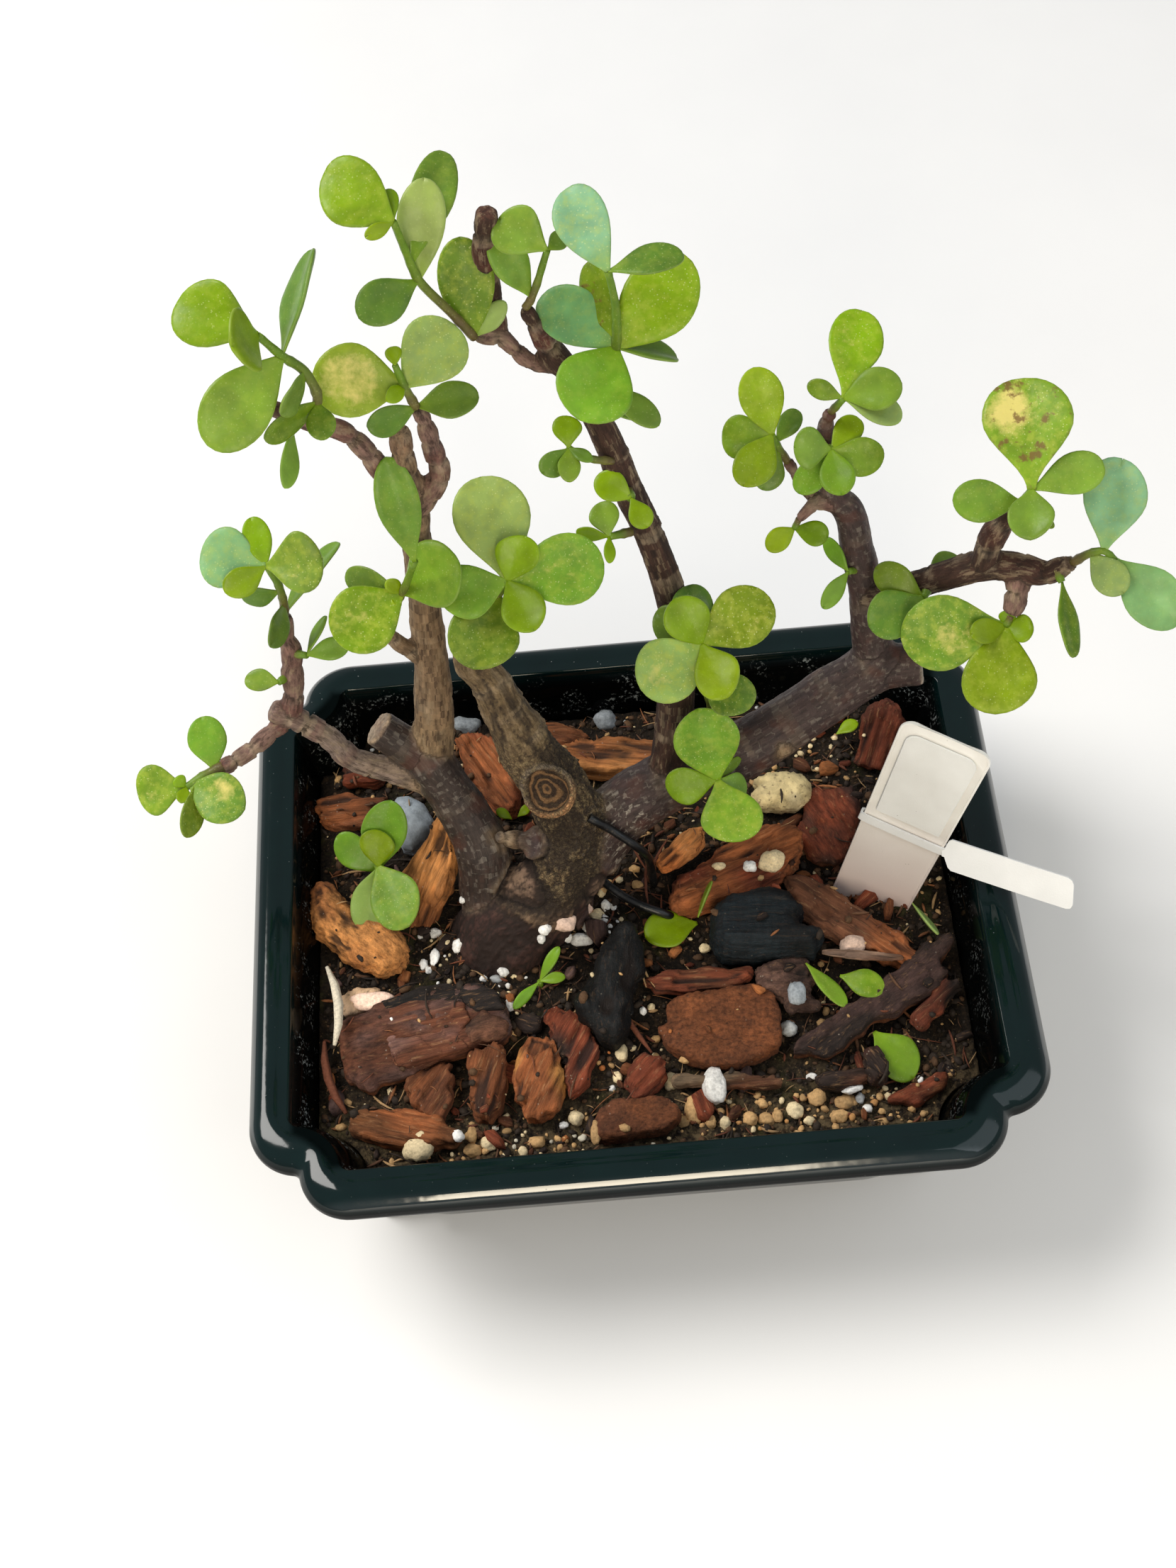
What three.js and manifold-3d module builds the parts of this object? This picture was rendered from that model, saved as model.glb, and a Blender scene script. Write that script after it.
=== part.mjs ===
// A dwarf jade bonsai in a glazed rectangular pot with notched corners.
// Millimetres, +Z up. The pot stands on its four feet at z = 0 before the last line
// moves the origin to the middle of the footprint of the whole part's box.
import * as THREE from 'three';
import { mergeVertices } from 'three/addons/utils/BufferGeometryUtils.js';
import Module from 'manifold-3d';

const wasm = await Module();
wasm.setup();

// Driving dimensions.
const POT_WIDTH = 190;
const POT_DEPTH = 159;
const POT_HEIGHT = 58;
const RIM_WIDTH = 10.5;
const LIP_HEIGHT = 6.5;
const NOTCH = 12;
const CUSP_RADIUS = 2.5;
const FOOT_HEIGHT = 6;
const FOOT_LENGTH = 30;
const FOOT_DEPTH = 18;
const FLOOR_TOP = 10;
const SOIL_TOP = 42;
const DRAIN_RADIUS = 5.5;
const DRAIN_SPACING = 70;
const GAP = 0.3;
const FLATNESS = 0.14;
const BLADE_EDGE = 0.7;
const WIRE_RADIUS = 1.1;
const STAKE_THICKNESS = 0.9;
const ARC_STEPS = 3;
// Sides of a round limb, by its thickest radius.
const SIDES = [[5, 8], [2.5, 6], [1.5, 5], [0, 4]];

const v3 = (x, y, z) => new THREE.Vector3(x, y, z);
const rad = THREE.MathUtils.degToRad;

function randomFrom(seed) {
  let state = seed * 7919 + 13;
  return () => {
    state = (state * 1103515245 + 12345) % 2147483648;
    return state / 2147483648;
  };
}

// A closed body skinned over rings of equally many points, counter-clockwise about the stack.
function loft(rings) {
  const count = rings[0].length;
  const positions = [];
  const index = [];
  const add = (p) => positions.push(p.x, p.y, p.z) / 3 - 1;
  rings.forEach((ring) => ring.forEach(add));
  for (let r = 0; r < rings.length - 1; r += 1) {
    for (let i = 0; i < count; i += 1) {
      const a = r * count + i;
      const b = r * count + ((i + 1) % count);
      index.push(a, b, b + count, a, b + count, a + count);
    }
  }
  const middle = (ring) => ring.reduce((sum, p) => sum.add(p), v3(0, 0, 0)).divideScalar(count);
  const last = (rings.length - 1) * count;
  if (count < 10) {
    for (let i = 1; i < count - 1; i += 1) index.push(0, i + 1, i, last, last + i, last + i + 1);
  } else {
    const [foot, head] = [add(middle(rings[0])), add(middle(rings[rings.length - 1]))];
    for (let i = 0; i < count; i += 1) {
      const next = (i + 1) % count;
      index.push(foot, next, i, head, last + i, last + next);
    }
  }
  const geometry = new THREE.BufferGeometry();
  geometry.setAttribute('position', new THREE.Float32BufferAttribute(positions, 3));
  geometry.setIndex(index);
  return geometry;
}

function toSolid(geometry) {
  const bare = geometry.clone();
  bare.deleteAttribute('normal');
  bare.deleteAttribute('uv');
  const merged = mergeVertices(bare, 1e-4);
  return new wasm.Manifold(new wasm.Mesh({
    numProp: 3,
    vertProperties: Float32Array.from(merged.attributes.position.array),
    triVerts: Uint32Array.from(merged.index.array),
  }));
}

function toGeometry(solid) {
  const { vertProperties, triVerts } = solid.getMesh();
  const geometry = new THREE.BufferGeometry();
  geometry.setAttribute('position', new THREE.Float32BufferAttribute(vertProperties, 3));
  geometry.setIndex(Array.from(triVerts));
  geometry.computeVertexNormals();
  return geometry;
}

const joined = (solids) => solids.reduce((sum, next) => sum.add(next));
const carved = (solid, cutters) => cutters.reduce((rest, cutter) => rest.subtract(cutter), solid);

// The biggest body of a solid; scraps that a cut leaves loose are dropped.
function mainBody(solid) {
  const bodies = solid.decompose();
  return bodies.reduce((best, body) => (body.volume() > best.volume() ? body : best));
}

// One quarter of the pot's outline: two round shoulders with a soft cusp between them.
function cornerPoints(halfWidth, halfDepth, inset) {
  const e = (Math.sqrt(NOTCH ** 2 + 4 * (NOTCH * CUSP_RADIUS + CUSP_RADIUS ** 2 / 2)) - NOTCH) / 2;
  const turn = Math.atan2(NOTCH + e, e);
  const arc = (cx, cy, radius, from, to) => Array.from({ length: ARC_STEPS + 1 }, (_, i) => {
    const angle = from + ((to - from) * i) / ARC_STEPS;
    return [cx + radius * Math.cos(angle), cy + radius * Math.sin(angle)];
  });
  const quarter = Math.PI / 2;
  const side = arc(halfWidth - NOTCH, halfDepth - 2 * NOTCH, NOTCH - inset, 0, turn);
  const cusp = arc(halfWidth - NOTCH + e, halfDepth - NOTCH + e, CUSP_RADIUS + inset,
    turn - Math.PI, -quarter - turn);
  const end = arc(halfWidth - 2 * NOTCH, halfDepth - NOTCH, NOTCH - inset, quarter - turn, quarter);
  return [...side, ...cusp.slice(1, -1), ...end];
}

// The pot's outline at height z, drawn in by `shrink` and offset inwards by `inset`.
function potRing(shrink, inset, z) {
  const quarter = cornerPoints(POT_WIDTH / 2 - shrink, POT_DEPTH / 2 - shrink, inset);
  const mirrored = (sx, sy, list) => list.map(([x, y]) => v3(sx * x, sy * y, z));
  const back = [...quarter].reverse();
  return [
    ...mirrored(1, 1, quarter), ...mirrored(-1, 1, back),
    ...mirrored(-1, -1, quarter), ...mirrored(1, -1, back),
  ];
}

// The cavity's wall leans in by this much from the rim down to height z.
const cavityShrink = (z) => 1.5 + (7.5 * (POT_HEIGHT - z)) / (POT_HEIGHT - FLOOR_TOP);

function makePot() {
  const under = POT_HEIGHT - LIP_HEIGHT;
  const outer = [
    [15.5, 0, FOOT_HEIGHT - 1], [14, 0, FOOT_HEIGHT + 1], [8.5, 0, 30], [4.6, 0, under - 1],
    [1.4, 0, under], [0.2, 0, under + 1.6], [0, 0, POT_HEIGHT - 3], [0.9, 0, POT_HEIGHT - 0.9],
    [2.8, 0, POT_HEIGHT],
  ].map(([shrink, inset, z]) => potRing(shrink, inset, z));
  const shell = toSolid(loft([...outer, potRing(2, 7.2, POT_HEIGHT - 0.3)]));
  const cavity = toSolid(loft([
    potRing(cavityShrink(FLOOR_TOP), RIM_WIDTH, FLOOR_TOP),
    potRing(cavityShrink(SOIL_TOP), RIM_WIDTH, SOIL_TOP),
    potRing(1, RIM_WIDTH, POT_HEIGHT - 2),
    potRing(0, RIM_WIDTH, POT_HEIGHT - 0.8),
    potRing(0, RIM_WIDTH - 0.6, POT_HEIGHT + 1),
  ]));
  const feet = [-1, 1].flatMap((sx) => [-1, 1].map((sy) => {
    const foot = new THREE.Shape();
    const [w, d, r] = [FOOT_LENGTH / 2, FOOT_DEPTH / 2, 4];
    foot.absarc(w - r, d - r, r, 0, Math.PI / 2);
    foot.absarc(r - w, d - r, r, Math.PI / 2, Math.PI);
    foot.absarc(r - w, r - d, r, Math.PI, 1.5 * Math.PI);
    foot.absarc(w - r, r - d, r, 1.5 * Math.PI, 2 * Math.PI);
    const options = { depth: FOOT_HEIGHT + 1, bevelEnabled: false, curveSegments: 2 };
    const body = new THREE.ExtrudeGeometry(foot, options);
    body.translate(sx * (POT_WIDTH / 2 - 38), sy * (POT_DEPTH / 2 - 31), 0);
    return toSolid(body);
  }));
  const drains = [-1, 1].map((side) => {
    const hole = new THREE.CylinderGeometry(DRAIN_RADIUS, DRAIN_RADIUS, 3 * FLOOR_TOP, 12);
    hole.rotateX(Math.PI / 2).translate((side * DRAIN_SPACING) / 2, 0, 0);
    return toSolid(hole);
  });
  return carved(joined([shell, ...feet]), [cavity, ...drains]);
}

// Potting mix up to the rim's shade, gently heaped and uneven.
function makeSoil(grow) {
  const clear = (z) => potRing(cavityShrink(z) + GAP + 0.1, RIM_WIDTH, z);
  const edge = clear(SOIL_TOP - 1.5 + grow);
  const heaped = (x, y) => SOIL_TOP + grow + 0.8 * Math.sin(x / 9) * Math.cos(y / 11)
    + 1.6 * Math.exp(-((x + 25) ** 2 + y ** 2) / 1800);
  const rings = [0.88, 0.66, 0.42, 0.18].map((scale) => edge.map((p) => {
    const [x, y] = [p.x * scale, p.y * scale];
    return v3(x, y, heaped(x, y));
  }));
  return toSolid(loft([clear(FLOOR_TOP + GAP), edge, ...rings]));
}

// A round limb through points [x, y, z, radius].
function limb(points, grow = 0) {
  const curve = new THREE.CatmullRomCurve3(points.map(([x, y, z]) => v3(x, y, z)), false, 'centripetal');
  const thickest = Math.max(...points.map((p) => p[3]));
  const sides = SIDES.find(([radius]) => thickest >= radius)[1];
  const steps = points.length === 3 ? 4 : points.length - 1;
  const chord = curve.getPoint(1).sub(curve.getPoint(0)).normalize();
  const ref = Math.abs(chord.x) < 0.6 ? v3(1, 0, 0) : v3(0, 1, 0);
  const rings = [];
  for (let s = 0; s <= steps; s += 1) {
    const t = s / steps;
    const k = Math.min(Math.floor(t * (points.length - 1)), points.length - 2);
    const f = t * (points.length - 1) - k;
    const radius = points[k][3] * (1 - f) + points[k + 1][3] * f + grow;
    const tangent = curve.getTangent(t);
    const side = ref.clone().addScaledVector(tangent, -ref.dot(tangent)).normalize();
    const up = tangent.clone().cross(side);
    const centre = curve.getPoint(t);
    if (s === 0) centre.addScaledVector(tangent, -grow);
    if (s === steps) centre.addScaledVector(tangent, grow);
    rings.push(Array.from({ length: sides }, (_, i) => {
      const angle = (2 * Math.PI * i) / sides;
      return centre.clone().addScaledVector(side, radius * Math.cos(angle))
        .addScaledVector(up, radius * Math.sin(angle));
    }));
  }
  return toSolid(loft(rings));
}

// Trunks and branches, each a list of [x, y, z, radius] from its thick end to its thin end.
const WOOD = {
  base: [[-35, -4, 35, 13.6], [-31.5, -1, 44, 13.5], [-23, 2, 52, 11.2], [-15, 6, 62, 9.3],
    [-13, 10, 70, 8.8]],
  root_front: [[-29, 0, 50, 9], [-31, -9, 41, 6], [-33, -16, 34, 3.5]],
  root_left: [[-34, 2, 50, 8], [-44, 0, 40, 5], [-50, -3, 34, 3]],
  root_right: [[-17, 5, 58, 8.5], [-11, -1, 44, 6.5], [-7, -5, 34, 4]],
  stem_scarred: [[-15, 6, 62, 9.2], [-13, 11, 73, 8.7], [-16, 14, 83.5, 8.3], [-20.5, 17.5, 93.5, 7.5],
    [-25, 20.5, 106.5, 5.9], [-28.5, 22.5, 118.5, 4.6], [-32, 24, 124.5, 4.2], [-29.5, 23.5, 135.5, 3.4],
    [-24.5, 22.5, 147.5, 2.3]],
  trunk_left: [[-36, 0, 42, 9.5], [-36, 3, 52, 8.5], [-36, 11.5, 66, 7.1], [-41.5, 19.5, 77, 6],
    [-46, 24, 86, 5.9]],
  stub_left: [[-45, 23.5, 84, 4.9], [-57.5, 28, 96, 4.5]],
  stem_left: [[-46, 23.5, 83, 5.6], [-44.5, 27, 91.5, 5], [-42.5, 30, 110.5, 4.3], [-41.5, 32, 129, 3.8],
    [-40, 33, 158, 3.3], [-39, 33, 171.5, 3.1], [-39.5, 32, 179.5, 3], [-39.5, 31, 187, 2.4],
    [-39, 30, 195.5, 2.2]],
  twig_crown_left: [[-39.5, 33, 173.5, 2.6], [-44, 32, 180.5, 2.4], [-47, 31, 189.5, 2.1],
    [-50.5, 30, 196.5, 2], [-55, 28, 201, 1.8], [-59.5, 26, 206.5, 1.6], [-65, 24, 213, 1.5]],
  twig_crown_right: [[-39, 33, 168, 2.8], [-35.5, 32.5, 173, 2.6], [-32.5, 32, 180, 2.2],
    [-33, 32, 185.5, 2.1], [-33.5, 32, 192, 2], [-34, 32, 196, 1.7], [-35, 31.5, 200, 1.4]],
  twig_mid_left: [[-43, 31.5, 116, 2.2], [-48.5, 28, 128.5, 1.8], [-50, 26, 136.5, 1.5],
    [-48, 25, 143.5, 1.3]],
  branch_low_left: [[-46, 23, 79, 4.4], [-57, 23.5, 84.5, 3.2], [-65, 24.5, 89, 2.9],
    [-69.5, 26, 96.5, 2.7], [-77.5, 28, 103.5, 2.6], [-81.5, 28.5, 106, 2.5]],
  twig_low_up: [[-78, 28, 102, 2.4], [-75.5, 30, 110.5, 2.5], [-75, 32, 116, 2.7], [-74, 33, 122.5, 2.3],
    [-74.5, 34, 128.5, 2.1], [-73.5, 34, 134, 1.8]],
  twig_low_out: [[-77, 28.5, 103.5, 2.2], [-82, 26.5, 100.5, 2.1], [-88, 23, 98, 2],
    [-94.5, 19, 97.5, 1.9]],
  trunk_right: [[-16, 4, 57, 8.6], [-12.5, 7, 60, 8.5], [-2, 14, 70, 8.3], [9.5, 18, 75, 8.1],
    [22, 20.5, 80, 7.7], [29, 21.5, 82, 7.4], [46.5, 26.5, 90, 6.9], [59, 30.5, 96, 6.5],
    [66, 32.5, 100, 6.3]],
  stub_right: [[63, 31.5, 98.5, 5.6], [74.5, 30, 100, 5.1]],
  knot_right: [[39, 21, 87, 4], [40.5, 17, 85, 2]],
  stem_middle: [[12, 19, 78, 5.4], [13.5, 22, 89.5, 4.8], [15.5, 30, 107.5, 4.4], [15.5, 36, 124, 4],
    [11, 41, 144, 3.7], [6.5, 43, 159, 3.5], [2.5, 45, 174.5, 3.3], [-4, 46, 192.5, 2.8],
    [-6.5, 46, 197, 3.1], [-8.5, 45, 204, 2], [-11, 44, 212, 1.5]],
  twig_top: [[-6, 46, 194.5, 1.9], [-11, 46, 195, 1.7], [-14, 46, 199, 1.7], [-17, 45.5, 203.5, 1.6],
    [-20, 45, 204, 1.4], [-22, 44.5, 206, 1.1]],
  stub_top: [[-17, 45.5, 201.5, 1.6], [-18, 46, 214, 1.9], [-18, 46, 226, 2], [-16, 45, 238, 1.8]],
  stem_right: [[64, 32, 97, 5.8], [62.5, 35, 106.5, 4.4], [61.5, 38, 116.5, 4.2], [59.5, 42, 128.5, 4],
    [57, 45, 140.5, 3.6], [54, 46, 145, 3.1], [52.5, 49, 156, 2.2], [52, 51, 163, 1.7], [53, 51, 167, 1.4]],
  twig_right_low: [[56, 45, 143, 2.1], [49.5, 44, 145, 1.6], [45.5, 43, 141.5, 1.1]],
  twig_right_mid: [[55.5, 46, 142, 1.9], [49, 47, 144.5, 1.6], [45.5, 49, 149.5, 1.4],
    [43.5, 50, 153.5, 1.2]],
  branch_right: [[61.5, 38, 118.5, 3.8], [71.5, 33, 126.5, 3.4], [79.5, 30, 133.5, 3.4],
    [85, 28, 137.5, 3.7], [93.5, 25, 139.5, 3], [98, 23, 139, 2.8], [103, 21, 144.5, 2]],
  spur_right: [[85, 27.5, 137, 3], [86.5, 27, 149, 3.1], [88, 26, 154, 2.6], [89.5, 25, 158, 1.8]],
  spur_right_low: [[93, 25, 138, 2.7], [92, 21, 132, 2.4], [91, 19.5, 129.5, 1.9]],
  stub_base: [[-22, 8, 55, 3], [-25, 12.5, 63, 1.8]],
};
// The healed pruning scar on the front of the short thick stem.
const SCAR = { foot: [-15.5, 14, 83], facing: [-0.1, -0.56, 0.82] };
const SCAR_PROFILE = [[0, 0], [7, 0], [6.6, 8.6], [5.4, 9.7], [3.4, 9.2], [0, 8.4]];

function makeWood(grow) {
  const limbs = Object.values(WOOD).map((points) => limb(points, grow));
  const profile = SCAR_PROFILE.map(([r, y]) => new THREE.Vector2(r && r + grow, y && y + grow));
  const collar = new THREE.LatheGeometry(profile, 10);
  const turn = new THREE.Quaternion().setFromUnitVectors(v3(0, 1, 0), v3(...SCAR.facing).normalize());
  collar.applyQuaternion(turn).translate(...SCAR.foot);
  return joined([...limbs, toSolid(collar)]);
}

// Half widths of a blade along its length, as shares of its length and half width.
const FULL_BLADE = [[0, 0.16], [0.3, 0.52], [0.6, 1], [0.86, 0.82], [1, 0.34]];
const SMALL_BLADE = [[0, 0.2], [0.36, 0.76], [0.72, 1], [1, 0.42]];
const SMALL_LENGTH = 14;

// A fleshy blade from `base`, with its edges folded up by `fold`.
function blade(base, [azimuth, elevation, length, width, roll, fold = 0.14], grow) {
  const [az, el, tilt] = [rad(azimuth), rad(elevation), rad(roll)];
  const along = v3(Math.cos(el) * Math.cos(az), Math.cos(el) * Math.sin(az), Math.sin(el));
  const level = v3(-Math.sin(az), Math.cos(az), 0);
  const face = along.clone().cross(level).multiplyScalar(Math.cos(tilt))
    .addScaledVector(level, Math.sin(tilt));
  const across = face.clone().cross(along);
  const flesh = Math.min(0.5 + 0.05 * width, 1.2) + grow;
  const outline = length < SMALL_LENGTH ? SMALL_BLADE : FULL_BLADE;
  const rings = outline.map(([t, share]) => {
    const half = (share * width) / 2 + grow;
    const lift = fold * (share * width) / 2;
    const edge = BLADE_EDGE / 2 + grow;
    const crown = Math.max(flesh * Math.sqrt(share), edge + 0.05);
    const centre = base.clone().addScaledVector(along, t * length + (t === 1 ? grow : 0))
      .addScaledVector(face, -0.05 * length * t * t);
    const section = [[half, lift + edge], [0, crown], [-half, lift + edge], [-half, lift - edge],
      [half, lift - edge]];
    return section.map(([w, h]) => centre.clone().addScaledVector(across, w).addScaledVector(face, h));
  });
  return toSolid(loft(rings));
}

function alongStem(stem, at) {
  const k = Math.min(Math.floor(at), stem.length - 2);
  const [from, to] = [v3(...stem[k]), v3(...stem[k + 1])];
  return from.lerp(to, at - k);
}

// Each leafy shoot: its green stem as [x, y, z, radius], then its leaves as
// [place on the stem, azimuth, elevation, length, width, roll, fold].
const BRIGHT = '#93b93a';
const GREEN = '#6f962f';
const DARK = '#4f7540';
const SPRAYS = {
  spray_top_left: { colour: GREEN,
    stem: [[-22, 44.5, 206, 1], [-26, 42, 215, 0.9], [-31, 40, 226, 0.9], [-32.5, 38, 236, 0.8],
      [-33.5, 36, 244.5, 0.7]],
    leaves: [[4, 155, 15, 17, 14, 40], [4, 100, 20, 7, 4, 0], [4, -145, 0, 6.5, 3, 45],
      [2, 75, 50, 15.5, 9.5, -15],
      [2.5, 65, 25, 21, 9, -25], [2, -155, -10, 12.5, 11, 45], [0, 95, 35, 18.5, 11, 0],
      [0, 35, 10, 9.5, 5, 0]] },
  spray_left: { colour: GREEN,
    stem: [[-59, 23, 207, 1], [-53, 23, 212.5, 1], [-54.5, 25, 219, 1], [-58, 25, 223.5, 0.9],
      [-61.5, 24, 230.5, 0.7]],
    leaves: [[4, 155, 15, 17, 13.5, 40], [4, -110, 35, 13, 12.5, 65], [3, 65, 30, 21.5, 11, 45],
      [3, -140, -20, 22.5, 13.5, 40], [2, -115, -10, 10.5, 7, 90], [1, -140, 0, 13.5, 7, 90],
      [1, -85, -20, 8, 6, 5], [0, -100, -25, 13.5, 5.5, 65]] },
  spray_crown_left: { colour: GREEN,
    stem: [[-35, 31.5, 200, 1], [-36.5, 31, 206.5, 0.9], [-37.5, 30.5, 213, 0.7]],
    leaves: [[1, 175, 10, 18.5, 15, 45], [1, -125, 15, 6, 3.5, 40],
      [1, 40, 25, 16, 14, -35], [0, -155, 0, 11, 7, 75], [0, 5, 0, 13, 8, -25]] },
  spray_crown_right: { colour: GREEN,
    stem: [[1, 42, 180.5, 1.2], [4.5, 40, 191.5, 1.1], [6.5, 38, 205, 1], [7, 37, 217, 0.8],
      [6, 36, 227.5, 0.7]],
    leaves: [[4, 115, 25, 18.5, 11, 20], [4, 5, 5, 15, 8, -5], [2, 30, 20, 21, 15, -40],
      [2, 140, 20, 19, 12, 35],
      [2.2, 105, 30, 17, 8.5, 50], [2, -120, -10, 18, 16.5, 20], [2, 5, -20, 13.5, 8.5, 10],
      [1, -35, -20, 13, 6, -15], [0.5, -25, -10, 9, 3.5, 0]] },
  spray_crown_tip: { colour: DARK,
    stem: [[-11, 44, 212.5, 0.9], [-9.5, 44, 215, 0.8], [-5.5, 44, 227, 0.7]],
    leaves: [[2, 145, 20, 11.5, 10.5, 40], [1, 130, 25, 12.5, 7, 40], [2, 50, -5, 6, 4, -40]] },
  spray_middle: { colour: GREEN,
    stem: [[4, 41, 168.5, 0.9], [-0.5, 38, 173, 0.8], [-5, 36, 179, 0.7]],
    leaves: [[2, 90, 35, 7, 6.5, 0], [2, -95, -20, 7.5, 5, 5], [2, -140, -15, 8, 6, 55],
      [2, -45, 5, 6.5, 3, -15]] },
  leaf_pair_middle_upper: { colour: BRIGHT,
    stem: [[7, 39.5, 160, 1.2], [7.5, 36.5, 161, 1]],
    leaves: [[1, 150, 20, 9, 7, 35], [1, -65, -25, 7.5, 5.5, -15]] },
  leaf_pair_middle_lower: { colour: GREEN,
    stem: [[7, 38, 148, 1.1], [2, 35, 150.5, 0.8]],
    leaves: [[1, 100, 35, 8, 7, 5], [1, 175, 15, 7.5, 3.5, 70], [1, -95, -15, 6.5, 3, 35]] },
  spray_low_top: { colour: GREEN,
    stem: [[-73.5, 34, 134.5, 1.1], [-73, 34, 138.5, 1], [-73, 34, 145, 0.9], [-74.5, 34, 152, 0.7]],
    leaves: [[3, 165, 10, 15, 14, 35], [3, 105, 30, 11.5, 6.5, 0], [3, -145, -5, 11, 7, 40],
      [3, -5, 5, 13, 14, -40],
      [1.7, -175, -5, 9, 6.5, 90], [1, -105, -15, 11, 6.5, 65], [0, 50, 20, 21, 8, 30]] },
  leaf_pair_low_right: { colour: GREEN,
    stem: [[-73.5, 32, 122.5, 1.1], [-70, 29.5, 124.5, 0.8]],
    leaves: [[1, 10, 5, 10, 5.5, -40], [1, 60, 20, 10.5, 4, 35]] },
  leaf_low_left: { colour: GREEN,
    stem: [[-76, 31, 115.5, 1.1], [-78, 28.5, 116.5, 0.8]],
    leaves: [[1, 170, 10, 8, 5.5, 35]] },
  spray_low_out: { colour: GREEN,
    stem: [[-94, 19.5, 97.5, 1.6], [-100.5, 16.5, 97, 1.2], [-103.5, 15, 96.5, 0.8]],
    leaves: [[0.4, 100, 30, 13.5, 9.5, -5], [1.7, -30, -5, 15, 12.5, -25], [2, 180, 0, 12, 12.5, 35],
      [1.2, -100, -20, 14, 6.5, 50]] },
  spray_mid_left: { colour: GREEN,
    stem: [[-48, 25, 143.5, 1], [-44.5, 24, 150.5, 0.9], [-39.5, 24, 158.5, 0.8]],
    leaves: [[1, -150, -10, 18, 15.5, 35], [1, 20, 40, 14, 14.5, -45], [1, 155, 5, 14, 7, 55],
      [2, 100, 25, 20.5, 9.5, 10]] },
  spray_centre: { colour: GREEN,
    stem: [[-24.5, 22.5, 147.5, 1.1], [-21, 22, 154, 0.9]],
    leaves: [[1, 100, 30, 25.5, 17, 5], [1, -170, 10, 15, 13, 60], [0.3, -115, -20, 18, 16, 20],
      [1, 50, 50, 11, 10, -25], [1, 5, 5, 21.5, 16, -40], [1, -65, -10, 14, 10, -15]] },
  spray_right_upper: { colour: GREEN,
    stem: [[24, 20, 86, 1.3], [23, 22, 100, 1.1], [21.5, 22, 114, 1], [21, 22, 125.5, 0.8]],
    leaves: [[3, -150, -15, 17.5, 15.5, 30], [3, 130, 50, 12.5, 11, 25], [3, 100, 20, 14.5, 10, 10],
      [2.8, 140, 15, 14, 9, 30], [3, 25, 15, 19, 14.5, -35], [3, -70, -5, 15, 11, -15],
      [2, -45, -15, 13.5, 11, -25]] },
  spray_right_lower: { colour: BRIGHT,
    stem: [[23.5, 15, 81, 1.5], [23, 9, 89, 1]],
    leaves: [[1, 110, 60, 19.5, 16, 15], [1, -175, -5, 12.5, 9.5, 50], [1, -75, -25, 16, 15, -10],
      [1, -10, -35, 8.5, 7, -20], [0.6, 40, 5, 8, 2.5, -25]] },
  spray_right_top: { colour: GREEN,
    stem: [[53, 51, 167, 0.9], [55.5, 50, 172, 0.8]],
    leaves: [[1, 75, 35, 21, 12, -5], [1, -10, 15, 11.5, 9.5, -45], [1, -15, -15, 13.5, 7, -25],
      [1, 160, 15, 8.5, 4.5, 45]] },
  spray_right_left: { colour: DARK,
    stem: [[43.5, 50, 153.5, 1], [41.5, 50, 158, 0.9], [40, 50, 162.5, 0.7]],
    leaves: [[2, 105, 35, 15, 9.5, 15], [2, 170, -10, 11.5, 10, 45], [2, -125, -15, 14, 9.5, 20],
      [1.4, 45, 20, 9, 5.5, -5], [1, -125, -40, 10, 7, 35]] },
  spray_right_mid: { colour: GREEN,
    stem: [[52.5, 48.5, 158, 1.2], [52.5, 45, 161.5, 0.9]],
    leaves: [[1, -180, 15, 8.5, 9.5, 45], [1, 45, 10, 10, 6.5, -15], [1, -10, -15, 12, 9, -45],
      [1, -85, -15, 11.5, 8, -10], [0.6, -135, -30, 12, 7, 20]] },
  spray_right_low: { colour: BRIGHT,
    stem: [[45.5, 43, 141.5, 0.8], [44.5, 42.5, 139, 0.7]],
    leaves: [[1, -20, -5, 8, 6, -40], [1, -155, -15, 8, 5.5, 35]] },
  leaf_pair_right: { colour: BRIGHT,
    stem: [[59.5, 39.5, 126, 0.9], [56.5, 37, 128.5, 0.8]],
    leaves: [[1, 125, 30, 9.5, 4, 45], [1, -135, -20, 10.5, 4.5, 35]] },
  spray_far_right_up: { colour: GREEN,
    stem: [[89.5, 25, 158, 1.1], [91, 24.5, 162, 0.9], [92.5, 24, 166.5, 0.8]],
    leaves: [[2, 85, 30, 24.5, 19.5, 10], [1, 175, 5, 15, 9.5, 40], [2, -100, -10, 12, 10, -5],
      [2, 15, 5, 16.5, 9.5, -25], [0.5, -25, -15, 9, 3, -20]] },
  spray_far_right_end: { colour: DARK,
    stem: [[103.5, 21, 144.5, 1.1], [106.5, 19.5, 149, 0.9], [109, 18.5, 150.5, 0.8],
      [111.5, 17.5, 148.5, 0.7]],
    leaves: [[2, 70, 35, 20.5, 14, 0], [1, -60, -15, 11.5, 8, -30], [3, -45, -25, 20, 12.5, -35]] },
  leaf_right_hanging: { colour: GREEN,
    stem: [[100, 21, 142.5, 1], [101, 18.5, 141, 0.8]],
    leaves: [[1, -90, -30, 17, 7, 40]] },
  spray_right_inner: { colour: GREEN,
    stem: [[74.5, 31, 129, 1.4], [72.5, 27.5, 128.5, 0.9]],
    leaves: [[1, 150, 20, 13, 8, 45], [1, -155, -5, 14.5, 11.5, 30], [0.3, 40, 5, 11, 9, -25]] },
  spray_right_under: { colour: BRIGHT,
    stem: [[91, 19.5, 129.5, 1.1], [90, 18.5, 127, 0.9]],
    leaves: [[1, 180, 0, 24, 17.5, 40], [1, -160, 10, 9.5, 6, 35], [1, -30, 15, 6.5, 6.5, -40],
      [1, -105, -25, 20.5, 17, 0]] },
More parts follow.
